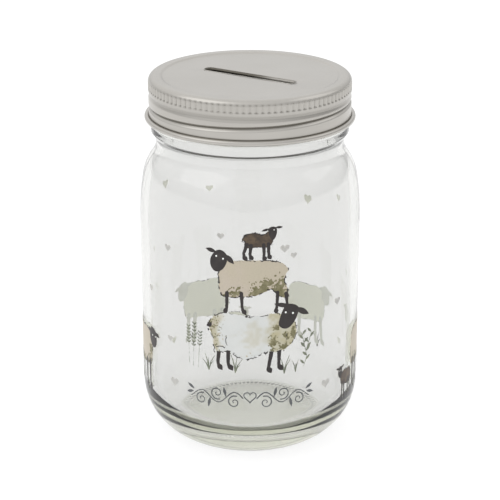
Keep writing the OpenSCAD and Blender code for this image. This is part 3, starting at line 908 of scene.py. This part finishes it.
backing = ink_layer(
    "ink_pale_backing",
    [(sheep.silhouette, *sheep.box()) for sheep in stack + flock + lambs]
    + [one_heart(*place) for place in HEARTS],
    FLAT_CELL, 0.02, "print_backing")

places = wall_places(backing)
under_heads = union(*[sheep.head(*places) for sheep in stack + flock + lambs])
under_legs = union(*[sheep.leg_strokes(*places) for sheep in stack + flock + lambs])
paint(backing, "over_dark", smooth(union(under_heads, under_legs) / 0.4 + 0.5))

# %% [markdown]
# ## Fleeces
# The beige and white fleeces are flat washes. The white sheep's chest is a loose beige
# wash that breaks into blots towards its middle, and its tail end is stippled.

# %% Print the white and the beige washes


def chest_wash(s, z):
    """How beige the white sheep is: fully at its chest, with a paler patch in its middle."""
    blots = 0.30 * wander(s, z, 2.4, 101) + 0.24 * wander(s, z, 1.1, 102)
    chest = smooth((s - 5.4) / 3.6 + 0.9 * blots) * (0.85 + 0.5 * blots)
    patch = 0.42 * smooth(1.25 - np.hypot((s - 2.0) / 6.2, (z - 50.4) / 5.4) + 1.3 * blots)
    tail = smooth((-9.4 - s) / 3.6 + 1.3 * blots) * 0.8
    return np.clip(union(chest, patch, tail), 0, 1)


def stipple(s, z):
    """Beige specks at the white sheep's tail end and along its belly."""
    specks = wander(s, z, 0.6, 103) + 0.6 * wander(s, z, 0.3, 104)
    tail = specks - 0.25 - 0.20 * (s + 12.4) - 0.03 * np.abs(z - 51)
    belly = specks - 0.35 - 0.5 * np.abs(z - 42.6) - 0.25 * np.abs(s + 0.8)
    return np.minimum(union(tail, belly) * 0.3, bottom_sheep.fleece(s, z) - 0.2)


white = ink_layer(
    "ink_white", [(hidden_by([middle_sheep], bottom_sheep.fleece), *bottom_sheep.box())],
    FLAT_CELL, 0.04, "print_white")
paint(white, "wash", chest_wash(*wall_places(white)))
ink_layer(
    "ink_cream",
    [(middle_sheep.fleece, *middle_sheep.box()), (stipple, *bottom_sheep.box())]
    + [(sheep.fleece, *sheep.box()) for sheep in flock],
    FINE_CELL * 1.3, 0.055, "print_cream")

# %% [markdown]
# ## Olive shading
# A darker olive is dabbed along the bellies with a dry brush. The dabs are a soft random
# field cut at a level that falls away from the belly line, so they break up at their edge.

# %% Dab on the olive


def dabs(sheep, places, seed, size):
    """Dry-brush dabs of one size round places, each (x, z, half width, half height)."""
    def field(s, z):
        x, y = sheep.local(s, z)
        rough = 0.55 * wander(s, z, size, seed) + 0.6 * wander(s, z, size * 0.4, seed + 1)
        hills = [1 - np.hypot((x - a) / w, (y - b) / h) for a, b, w, h in places]
        return np.minimum((union(*hills) + rough - 0.12) * 0.5, sheep.fleece(s, z) - 0.1)
    return field


def tail_specks(s, z):
    """Fine specks over the white sheep's tail end, thinning out towards its middle."""
    specks = wander(s, z, 0.5, 105) + 0.8 * wander(s, z, 0.26, 106)
    return np.minimum((specks - 0.50 - 0.16 * (s + 12.4)) * 0.25, bottom_sheep.fleece(s, z) - 0.25)


MIDDLE_DABS = [
    (4.6, 67.2, 5.2, 2.6), (6.2, 69.4, 1.8, 1.8), (10.6, 67, 3.2, 4.2), (12, 65, 1.8, 1.6),
    (-5.2, 66, 2.2, 2.2), (-8.4, 65, 2.4, 1.2)]
BOTTOM_DABS = [
    (8.2, 47.5, 1.4, 2.6), (9.2, 53, 1.1, 1.3), (12.4, 45.6, 2.2, 1.2), (15.6, 50.4, 0.9, 2.4),
    (12.8, 49.6, 1.0, 1.2)]
SIDE_DABS = [(-6, 30, 4.2, 2), (0.6, 30, 3.4, 1.6), (7.6, 31.4, 2.6, 2.6), (9, 36, 1.4, 2)]
ink_layer(
    "ink_olive",
    [(tail_specks, *bottom_sheep.box()),
     (dabs(middle_sheep, MIDDLE_DABS, 111, 1.1), *middle_sheep.box()),
     (dabs(bottom_sheep, BOTTOM_DABS, 113, 0.8), *bottom_sheep.box())]
    + [(dabs(sheep, SIDE_DABS, 115, 1.1), *sheep.box()) for sheep in flock],
    FINE_CELL * 1.2, 0.07, "print_olive")

# %% [markdown]
# ## Brown and charcoal
# The lambs are painted in brown, with their heads and legs in charcoal like the sheep's.
# The charcoal also carries the pen work: the broken line round each fleece, a few loose
# squiggles, and a knot of hairs at the white sheep's tail.

# %% Print the brown lambs
ink_layer(
    "ink_brown", [(lamb.fleece, *lamb.box()) for lamb in [top_lamb] + lambs],
    FINE_CELL, 0.08, "print_brown")

# %% Print the charcoal
SQUIGGLES = [
    ([(-8.3, 49.4), (-8.6, 48.4), (-8.4, 47.2), (-8, 46.3)], 0.26),
    ([(-12, 45.4), (-10.8, 45.8), (-9.6, 45.8), (-8.9, 45.3)], 0.26),
    ([(-13.1, 46.1), (-12.6, 45.1), (-12.9, 44), (-12.5, 43.3)], 0.34),
    ([(12.9, 50.6), (13, 49), (12.8, 47.2)], 0.16),
]


def loose_pen(s, z):
    """Pen squiggles on the white sheep."""
    lines = [stroke(s, z, points, [width] * len(points)) for points, width in SQUIGGLES]
    return union(*lines) + 0.08 * wander(s, z, 0.7, 121)


def tail_knot(s, z):
    """A knot of dark hairs at the white sheep's tail."""
    hairs = wander(s, z, 0.42, 122) + 0.5 * wander(s, z, 0.9, 123)
    near = 1.0 - np.hypot((s + 14.4) / 1.1, (z - 53.6) / 2.4)
    return np.minimum(near, 1) * 0.5 + 0.35 * hairs - 0.28


def charcoal(s, z):
    """All the charcoal of the three sheep in front."""
    above = [top_lamb.silhouette(s, z)]
    line_of_middle = without(middle_sheep.pen_line(s, z), *above, middle_sheep.head(s, z))
    above_bottom = [middle_sheep.leg_strokes(s, z), bottom_sheep.head(s, z)]
    line_of_bottom = without(bottom_sheep.pen_line(s, z, 0.24, 0.1), *above_bottom)
    lamb_line = top_lamb.pen_line(s, z, 0.24, 0.9)
    dark = [sheep.dark(s, z) for sheep in stack[::-1]]
    dark[1] = without(dark[1], bottom_sheep.eye_dots(s, z))
    legs_behind = without(dark[2], np.minimum(bottom_sheep.fleece(s, z), 48 - z) - 0.3)
    lines = [line_of_middle, line_of_bottom, lamb_line, loose_pen(s, z), tail_knot(s, z)]
    return union(dark[0], dark[1], legs_behind, *lines)


def lone_charcoal(sheep):
    """The charcoal of a sheep or lamb that stands alone."""
    def field(s, z):
        return union(sheep.dark(s, z), without(sheep.pen_line(s, z), sheep.head(s, z)))
    return field


front_box = (-17, 23, 34.5, 91)
ink_layer(
    "ink_charcoal",
    [(charcoal, *front_box)] + [(lone_charcoal(sheep), *sheep.box()) for sheep in flock + lambs],
    FINE_CELL, 0.09, "print_charcoal")

# %% [markdown]
# ## Hearts and plants in ink
# The hearts go on next. Thin plants grow at the feet of the flock: three ears of wheat, a
# leafy twig and tufts of grass. Each is drawn from one root and a few tips with the same
# brush stroke and leaf.

# %% Print the hearts
ink_layer("ink_hearts", [one_heart(*place) for place in HEARTS], FINE_CELL, 0.05, "print_hearts")

# %% Print the wheat, the twig and the grass


def between(root, tip, t):
    """The place a part of the way from root to tip."""
    return tuple(np.array(root) + (np.array(tip) - root) * t)


def wheat(s, z, root, tip, pairs):
    """An ear of wheat: pairs of short pointed grains on a thin stem."""
    parts = [stroke(s, z, [root, tip], [0.10, 0.16])]
    for i in range(pairs):
        seat = between(root, tip, 0.97 - 0.085 * i)
        for side in (-1, 1):
            parts.append(leaf(s, z, seat, (seat[0] + side * 0.95, seat[1] + 1.05), 0.46))
    return union(*parts)


def twig(s, z, root, bend, tip, leaves, first_side):
    """A stem that bends once, with single leaves on alternate sides."""
    parts = [stroke(s, z, [root, bend, tip], [0.26, 0.22, 0.12])]
    for i in range(leaves):
        t = (i + 0.6) / leaves * 2
        seat = between(root, bend, t) if t < 1 else between(bend, tip, t - 1)
        side = first_side if i % 2 else -first_side
        parts.append(leaf(s, z, seat, (seat[0] + side * 1.7, seat[1] + 1.9), 0.85))
    return union(*parts)


def tuft(s, z, root, tips):
    """Blades of grass from one root."""
    blades = []
    for x, y in tips:
        bend = (root[0] + (x - root[0]) * 0.35, root[1] + (y - root[1]) * 0.55)
        blades.append(stroke(s, z, [root, bend, (x, y)], [0.42, 0.36, 0.08]))
    return union(*blades)


# %% Plant them
WHEAT = (
    ((-22.6, 37.6), (-22.8, 51.6), 6), ((-21, 36.8), (-20.3, 53), 7), ((-19, 36.4), (-18, 50), 5))
TWIGS = (
    ((19.7, 36.8), (21, 40.4), (20, 45), 5, 1), ((20.4, 43), (19.6, 46.4), (18.8, 49.4), 4, 1),
    ((20.6, 42.4), (21.9, 46.4), (23, 49.9), 4, -1))
TUFTS = (
    ((-14.8, 36.4), ((-17.4, 40.4), (-16.4, 42.8), (-15, 41.2), (-12.5, 42.2), (-13.1, 40))),
    ((-5.2, 36.2), ((-6.9, 43.6), (-6.1, 41.4), (-4.4, 42.6), (-2.6, 41.4), (-3.2, 39.6))),
    ((12.2, 35.3), ((10.9, 41.2), (13, 39.4), (14.2, 42), (14.8, 40.8))),
    ((16.5, 35.3), ((15.1, 39.9), (16.6, 38.4), (17.7, 39.8))),
)
SIDE_TUFTS = ((-86, 19.6), (-70, 19.2), (74, 19.4), (92, 19.4), (135, 19.2), (152, 19.4),
              (-144, 19.2), (-160, 19.4))


def plants_in_front(s, z):
    """All the plants round the three sheep."""
    plants = [wheat(s, z, *plant) for plant in WHEAT] + [twig(s, z, *plant) for plant in TWIGS]
    plants += [tuft(s, z, *plant) for plant in TUFTS]
    return union(*plants) + 0.05 * wander(s, z, 0.5, 141)


SIDE_BLADES = ((-2.4, 4.4), (-1.2, 6.4), (0.8, 5.2), (2.4, 5.6))


def side_tuft(angle, low):
    """A tuft of grass round the side, as a patch."""
    root = (along_wall(angle), low)

    def field(s, z):
        tips = [(root[0] + across, low + up) for across, up in SIDE_BLADES]
        return tuft(s, z, root, tips) + 0.05 * wander(s, z, 0.5, 142)

    return field, root[0] - 3.5, root[0] + 3.5, low - 1, low + 8


ink_layer(
    "ink_sprigs",
    [(plants_in_front, -26, 26, 34, 55)] + [side_tuft(*place) for place in SIDE_TUFTS],
    FINE_CELL, 0.06, "print_sprigs")

# %% [markdown]
# ## The flourish
# A line of pen work runs under the flock. It is a plain ornament: a small open heart with
# a scrolled tendril on either side, each a wave that sheds spirals and small leaves.

# %% Draw the flourish
PEN_W = 0.42
FLOURISH_Z = 26.4


def scroll(centre, radius, start, turns, side):
    """Points of a spiral that winds in to its centre, from the angle start in degrees."""
    points = []
    for t in np.linspace(0, 1, 26):
        a = math.radians(start + 360 * turns * t)
        r = radius * (1 - 0.86 * t)
        points.append((side * (centre[0] + r * math.cos(a)), centre[1] + r * math.sin(a)))
    return points


def tendril(side):
    """One side of the flourish as strokes: a wave, three scrolls and four leaves."""
    wave = [
        (side * x, FLOURISH_Z + 2.3 * math.sin((x - 2.5) * 0.52) * (1 - 0.012 * x))
        for x in np.arange(2.5, 22.2, 0.5)
    ]
    scrolls = [
        scroll((5.6, FLOURISH_Z - 1.6), 2.5, 110, -1.4, side),
        scroll((11.8, FLOURISH_Z + 1.5), 2.5, 250, 1.4, side),
        scroll((17.8, FLOURISH_Z - 1.5), 2.3, 110, -1.4, side),
    ]
    leaves = [((8.6, 26.6), (9.4, 30.4)), ((14.4, 26), (15.2, 22)), ((20.6, 28), (23.4, 29.8)),
              ((20.9, 27.2), (23.8, 26.4))]
    return [wave] + scrolls, [((side * a, b), (side * c, d)) for (a, b), (c, d) in leaves]


def flourish(s, z):
    """The open heart and both tendrils."""
    small = heart(s, z, (0, FLOURISH_Z + 0.6), 4.4)
    parts = [PEN_W / 2 - np.abs(small)]
    for side in (-1, 1):
        lines, leaves = tendril(side)
        for points in lines:
            widths = np.linspace(PEN_W * 1.1, PEN_W * 0.75, len(points))
            parts.append(stroke(s, z, points, widths))
        parts += [leaf(s, z, root, tip, 1.1) for root, tip in leaves]
    return union(*parts) + 0.03 * wander(s, z, 0.6, 151)


ink_layer("ink_flourish", [(flourish, -25, 25, 19, 33)], FINE_CELL, 0.06, "print_flourish")

# %% [markdown]
# ## Making materials
# A material is a small network of nodes. One function adds a node, sets it up and links
# what feeds it. Colours are written as hex values, as a designer gives them, and turned to
# the linear values that the renderer works in.

# %% Material helpers


def linear(hex_colour):
    """Linear RGBA of an sRGB hex colour."""
    srgb = [int(hex_colour[i : i + 2], 16) / 255 for i in (1, 3, 5)]
    rgb = [c / 12.92 if c <= 0.04045 else ((c + 0.055) / 1.055) ** 2.4 for c in srgb]
    return (*rgb, 1.0)


def add(tree, kind, inputs=None, stops=None, **settings):
    """Add a node. inputs are values or sockets that feed it, stops are a colour ramp's."""
    node = tree.nodes.new(kind)
    for name, value in settings.items():
        setattr(node, name, value)
    for socket, value in (inputs or {}).items():
        if isinstance(value, bpy.types.NodeSocket):
            tree.links.new(value, node.inputs[socket])
        else:
            node.inputs[socket].default_value = value
    for i, (place, colour) in enumerate(stops or []):
        stop = node.color_ramp.elements[i] if i < 2 else node.color_ramp.elements.new(place)
        stop.position, stop.color = place, colour
    return node


def new_material(name):
    """An empty material with a surface shader, and the tree and shader to build on."""
    material = bpy.data.materials.new(name)
    material.use_nodes = True
    tree = material.node_tree
    return material, tree, tree.nodes["Principled BSDF"]


def per_metre(size_mm):
    """Texture scale at which a pattern repeats about every size_mm."""
    return 1 / (size_mm * MM)


def object_place(tree, stretch=(1, 1, 1)):
    """Position on the piece in metres, squeezed along each axis by stretch."""
    place = add(tree, "ShaderNodeTexCoord").outputs["Object"]
    return add(tree, "ShaderNodeMapping", {"Vector": place, "Scale": stretch}).outputs["Vector"]


def finish(piece, material):
    """Give a piece its one material."""
    piece.data.materials.clear()
    piece.data.materials.append(material)


# %% [markdown]
# ## Pressed and blown soda-lime glass
# Soda-lime glass bends light by 1.52 and is clear, but iron in the sand tints it green
# where it is thick, as at the base and seen edge-on. The tint is in the volume, so it
# deepens with thickness by itself, and each surface takes a little light of its own. A
# blown surface is never flat, so a low, wide bump makes reflections waver. The stippled
# underside scatters light, so it comes out rougher and a shade greener.

# %% Soda-lime glass
glass, tree, shader = new_material("blown_soda_lime_glass")
shader.inputs["Transmission Weight"].default_value = 1.0
shader.inputs["IOR"].default_value = 1.52
WAVER_MM = 16
waver = add(tree, "ShaderNodeTexNoise",
            {"Vector": object_place(tree, (1, 1, 0.6)), "Scale": per_metre(WAVER_MM), "Detail": 1.5})
bumps = add(tree, "ShaderNodeBump",
            {"Height": waver.outputs["Fac"], "Strength": 0.12, "Distance": 0.6 * MM})
tree.links.new(bumps.outputs["Normal"], shader.inputs["Normal"])
haze = add(tree, "ShaderNodeMapRange", {"Value": waver.outputs["Fac"], "To Min": 0.0, "To Max": 0.02})
stippled = add(tree, "ShaderNodeAttribute", attribute_name="stippled")
surface_tint = add(tree, "ShaderNodeMix",
                   {"Factor": stippled.outputs["Fac"], "A": linear("#ECECEC"), "B": linear("#F0F1E6")},
                   data_type="RGBA")
tree.links.new(surface_tint.outputs["Result"], shader.inputs["Base Color"])
rough = add(tree, "ShaderNodeMath",
            {0: haze.outputs["Result"], 1: stippled.outputs["Fac"]}, operation="MAXIMUM")
tree.links.new(rough.outputs["Value"], shader.inputs["Roughness"])
body_tint = add(tree, "ShaderNodeVolumeAbsorption", {"Color": linear("#CACDA8"), "Density": 12.0})
tree.links.new(body_tint.outputs["Volume"], tree.nodes["Material Output"].inputs["Volume"])
finish(jar, glass)

# %% [markdown]
# ## Tinplate
# The lid is steel coated with tin and a clear satin lacquer. Rolling the sheet leaves fine
# lines one way, so fine that they only show as a faint change in gloss, and the lacquer
# blurs reflections. The tone is a warm pale grey, with shade painted darker in the creases.

# %% Lacquered tinplate
tinplate, tree, shader = new_material("lacquered_tinplate")
shader.inputs["Metallic"].default_value = 1.0
# Real rolling lines are a few hundredths of a millimetre apart; these are drawn coarser.
LINE_MM = 0.5
LINE_LENGTH = 40
CLOUD_MM = 22
lines = add(tree, "ShaderNodeTexNoise",
            {"Vector": object_place(tree, (1 / LINE_LENGTH, 1, 1)), "Scale": per_metre(LINE_MM),
             "Detail": 3.0})
clouds = add(tree, "ShaderNodeTexNoise",
             {"Vector": object_place(tree), "Scale": per_metre(CLOUD_MM), "Detail": 2.0})
tone = add(tree, "ShaderNodeMix",
           {"Factor": clouds.outputs["Fac"], "A": linear("#BEBBB6"), "B": linear("#B2AFA9")},
           data_type="RGBA")
# Painted shade: the tone is darkened towards a dark grey-brown by the shade stored in the creases.
painted_shade = add(tree, "ShaderNodeAttribute", attribute_name="painted_shade")
darkening = add(tree, "ShaderNodeMapRange", {"Value": painted_shade.outputs["Fac"], "To Max": 0.9})
shaded_tone = add(tree, "ShaderNodeMix",
             {"Factor": darkening.outputs["Result"], "A": tone.outputs["Result"],
              "B": linear("#4A463D")},
             data_type="RGBA")
tree.links.new(shaded_tone.outputs["Result"], shader.inputs["Base Color"])
dull = add(tree, "ShaderNodeMapRange", {"Value": lines.outputs["Fac"], "To Min": 0.27, "To Max": 0.30})
tree.links.new(dull.outputs["Result"], shader.inputs["Roughness"])
grain = add(tree, "ShaderNodeBump",
            {"Height": lines.outputs["Fac"], "Strength": 0.02, "Distance": 0.02 * MM})
tree.links.new(grain.outputs["Normal"], shader.inputs["Normal"])
finish(lid, tinplate)

# %% [markdown]
# ## Plastisol
# Baked vinyl paste: a soft, cream, slightly waxy plastic with a faint ripple from the
# nozzle that laid it down.

# %% Plastisol
plastisol, tree, shader = new_material("baked_vinyl_plastisol")
shader.inputs["Roughness"].default_value = 0.45
shader.inputs["IOR"].default_value = 1.53
shader.inputs["Subsurface Weight"].default_value = 0.15
shader.inputs["Subsurface Radius"].default_value = (0.002, 0.002, 0.0015)
RIPPLE_MM = 2
ripple = add(tree, "ShaderNodeTexNoise",
             {"Vector": object_place(tree), "Scale": per_metre(RIPPLE_MM), "Detail": 2.0})
cream = add(tree, "ShaderNodeMix",
            {"Factor": ripple.outputs["Fac"], "A": linear("#E9E4D6"), "B": linear("#DFD8C6")},
            data_type="RGBA")
tree.links.new(cream.outputs["Result"], shader.inputs["Base Color"])
ripples = add(tree, "ShaderNodeBump",
              {"Height": ripple.outputs["Fac"], "Strength": 0.3, "Distance": 0.05 * MM})
tree.links.new(ripples.outputs["Normal"], shader.inputs["Normal"])
finish(ring, plastisol)

# %% [markdown]
# ## Fired ceramic inks
# A ceramic ink is coloured glass ground fine and fused on, so it is smooth and a little
# glossy. The artwork was painted in watercolour, so every wash drifts between two or three
# tones over a few millimetres and has a fine grain where pigment settled in the paper.

# %% Fired inks


def fired_ink(name, tones, wash_mm, grain_mm=0.45, grain_depth=0.25, roughness=0.38):
    """A wash that drifts through tones, with settled pigment as a finer grain."""
    material, tree, shader = new_material("fired_ink_" + name)
    place = object_place(tree)
    wash = add(tree, "ShaderNodeTexNoise",
               {"Vector": place, "Scale": per_metre(wash_mm), "Detail": 4.0, "Roughness": 0.55})
    stops = [(0.3 + 0.4 * i / (len(tones) - 1), linear(tone)) for i, tone in enumerate(tones)]
    colours = add(tree, "ShaderNodeValToRGB", {"Fac": wash.outputs["Fac"]}, stops=stops)
    pigment = add(tree, "ShaderNodeTexNoise",
                  {"Vector": place, "Scale": per_metre(grain_mm), "Detail": 2.0})
    darkening = add(tree, "ShaderNodeMapRange",
                  {"Value": pigment.outputs["Fac"], "From Min": 0.35, "From Max": 0.75,
                   "To Min": 1.0, "To Max": 1.0 - grain_depth})
    grained = add(tree, "ShaderNodeMix",
                  {"Factor": 1.0, "A": colours.outputs["Color"], "B": darkening.outputs["Result"]},
                  data_type="RGBA", blend_type="MULTIPLY")
    tree.links.new(grained.outputs["Result"], shader.inputs["Base Color"])
    shader.inputs["Roughness"].default_value = roughness
    shader.inputs["IOR"].default_value = 1.5
    relief = add(tree, "ShaderNodeBump",
                 {"Height": pigment.outputs["Fac"], "Strength": 0.2, "Distance": 0.01 * MM})
    tree.links.new(relief.outputs["Normal"], shader.inputs["Normal"])
    return material, tree, grained, shader


# Tones, how many millimetres a tone runs before it drifts, and how deep its grain is
INKS = {
    "ink_cream": (("#BDB4A0", "#BEB4A1", "#C0B5A6"), 7, 0.08),
    "ink_olive": (("#6C6742", "#7C7755", "#958E6E"), 1.9, 0.30),
    "ink_brown": (("#352B24", "#4E3F30", "#6B5842"), 2.6, 0.30),
    "ink_charcoal": (("#1F1816", "#272020", "#322B29"), 3, 0.15),
    "ink_hearts": (("#B4B3AF", "#C0BFBB", "#CBC9C2"), 1.1, 0.20),
    "ink_sprigs": (("#5F6658", "#747A68", "#8D917D"), 4, 0.20),
    "ink_flourish": (("#4E5154", "#595C5E", "#666869"), 5, 0.15),
}
for piece_name, (tones, wash_mm, depth) in INKS.items():
    ink = fired_ink(piece_name.split("_")[1], tones, wash_mm, grain_depth=depth)[0]
    finish(bpy.data.objects[piece_name], ink)

# %% [markdown]
# The white ink also carries the beige wash of the chest. The backing is thin enough for
# daylight behind the jar to come through it, but the inks that lie over it would block that
# light here, so a faint glow of its own stands in for it.

# %% Let a second tone into the white ink and the backing


def second_tone(made, attribute, strength, colour):
    """Mix a colour into an ink by a number stored on its points."""
    material, tree, grained, shader = made
    amount = add(tree, "ShaderNodeAttribute", attribute_name=attribute)
    share = add(tree, "ShaderNodeMapRange", {"Value": amount.outputs["Fac"], "To Max": strength})
    mixed = add(tree, "ShaderNodeMix",
                {"Factor": share.outputs["Result"], "A": grained.outputs["Result"],
                 "B": linear(colour)},
                data_type="RGBA")
    tree.links.new(mixed.outputs["Result"], shader.inputs["Base Color"])
    return material


washed_white = fired_ink("washed_white", ("#CFD1CF", "#D3D5D3", "#D8D8D5"), 9, grain_depth=0.03)
finish(white, second_tone(washed_white, "wash", 0.95, "#B3AB89"))

pale = fired_ink("pale_backing", ("#F0F2E8", "#F4F6EE", "#F6F8F2"), 8, grain_depth=0.02)
shader = pale[3]
shader.inputs["Emission Color"].default_value = linear("#FEFFEC")
shader.inputs["Emission Strength"].default_value = 0.5
finish(backing, second_tone(pale, "over_dark", 1.0, "#C4C8D0"))
print("materials:", len(bpy.data.materials))

# %% [markdown]
# ## Floor, light and camera
# The jar stands on a wide light table of white acrylic, as for a catalogue: light from
# below fills the thick base, which would go black on a plain table, and leaves only a
# faint shadow. A studio's walls are never one brightness, and metal shows its shape only by
# what it mirrors, so the sky darkens towards the horizon, towards the right and at the
# sides. Two large soft boxes add a little from above.

# %% Lay the floor
FLOOR_HALF = 3.0
floor_mesh = bpy.data.meshes.new("white_table")
corners = [(-FLOOR_HALF, -FLOOR_HALF, 0), (FLOOR_HALF, -FLOOR_HALF, 0),
           (FLOOR_HALF, FLOOR_HALF, 0), (-FLOOR_HALF, FLOOR_HALF, 0)]
floor_mesh.from_pydata(corners, [], [(0, 1, 2, 3)])
floor = bpy.data.objects.new("white_table", floor_mesh)
bpy.context.scene.collection.objects.link(floor)
table, tree, shader = new_material("lit_white_acrylic")
shader.inputs["Base Color"].default_value = linear("#8C8C8C")
shader.inputs["Roughness"].default_value = 0.9
shader.inputs["Specular IOR Level"].default_value = 0.0
shader.inputs["Emission Color"].default_value = linear("#FFFFFF")
shader.inputs["Emission Strength"].default_value = 0.83
finish(floor, table)

# %% Light the sky


def grey(level):
    """A linear grey."""
    return (level, level, level, 1.0)


world = bpy.data.worlds.new("studio_sky")
bpy.context.scene.world = world
world.use_nodes = True
tree = world.node_tree
towards = add(tree, "ShaderNodeTexCoord").outputs["Generated"]
parts = add(tree, "ShaderNodeSeparateXYZ", {"Vector": towards})
front_to_back = add(tree, "ShaderNodeMapRange", {"Value": parts.outputs["Y"], "From Min": -1.0})
by_depth = add(tree, "ShaderNodeValToRGB", {"Fac": front_to_back.outputs["Result"]},
               stops=[(0.0, grey(0.95)), (1.0, grey(0.98)), (0.5, grey(0.8))])
by_height = add(tree, "ShaderNodeValToRGB", {"Fac": parts.outputs["Z"]},
                stops=[(0.0, grey(0.6)), (1.0, grey(1)), (0.35, grey(0.86))])
left_to_right = add(tree, "ShaderNodeMapRange", {"Value": parts.outputs["X"], "From Min": -1.0})
by_side = add(tree, "ShaderNodeValToRGB", {"Fac": left_to_right.outputs["Result"]},
              stops=[(0.0, grey(1)), (1.0, grey(0.72)), (0.5, grey(0.93))])
level = add(tree, "ShaderNodeMix",
            {"Factor": 1.0, "A": by_depth.outputs["Color"], "B": by_height.outputs["Color"]},
            data_type="RGBA", blend_type="MULTIPLY")
sky = add(tree, "ShaderNodeMix",
          {"Factor": 1.0, "A": level.outputs["Result"], "B": by_side.outputs["Color"]},
          data_type="RGBA", blend_type="MULTIPLY")
background = tree.nodes["Background"]
tree.links.new(sky.outputs["Result"], background.inputs["Color"])
background.inputs["Strength"].default_value = 1.36

# %% Hang two soft boxes


def soft_box(name, place, size, power):
    """A rectangular lamp aimed at the middle of the jar; size in metres, power in watts."""
    light = bpy.data.lights.new(name, "AREA")
    light.shape = "RECTANGLE"
    light.size, light.size_y = size
    light.energy = power
    lamp = bpy.data.objects.new(name, light)
    lamp.location = place
    aim = Vector((0, 0, 0.07)) - lamp.location
    lamp.rotation_euler = aim.to_track_quat("-Z", "Y").to_euler()
    bpy.context.scene.collection.objects.link(lamp)
    return lamp


soft_box("left_soft_box", (-1.1, -0.5, 1.3), (1.4, 1.4), 3.6)
soft_box("right_soft_box", (1.2, 0.2, 1.2), (1.2, 1.2), 2.0)

# %% Place the camera
TARGET = Vector((0, 0, 0.06783))
DISTANCE = 0.75
ELEVATION = 19.76
camera_data = bpy.data.cameras.new("camera")
camera_data.lens = 148.85
camera_data.sensor_width = 36
camera_data.clip_start = 0.01
camera = bpy.data.objects.new("camera", camera_data)
back, up = direction(ELEVATION)
camera.location = TARGET + DISTANCE * Vector((0, -back, up))
camera.rotation_euler = (math.radians(90 - ELEVATION), 0, 0)
bpy.context.scene.collection.objects.link(camera)
bpy.context.scene.camera = camera
bpy.context.scene.view_settings.view_transform = "Standard"
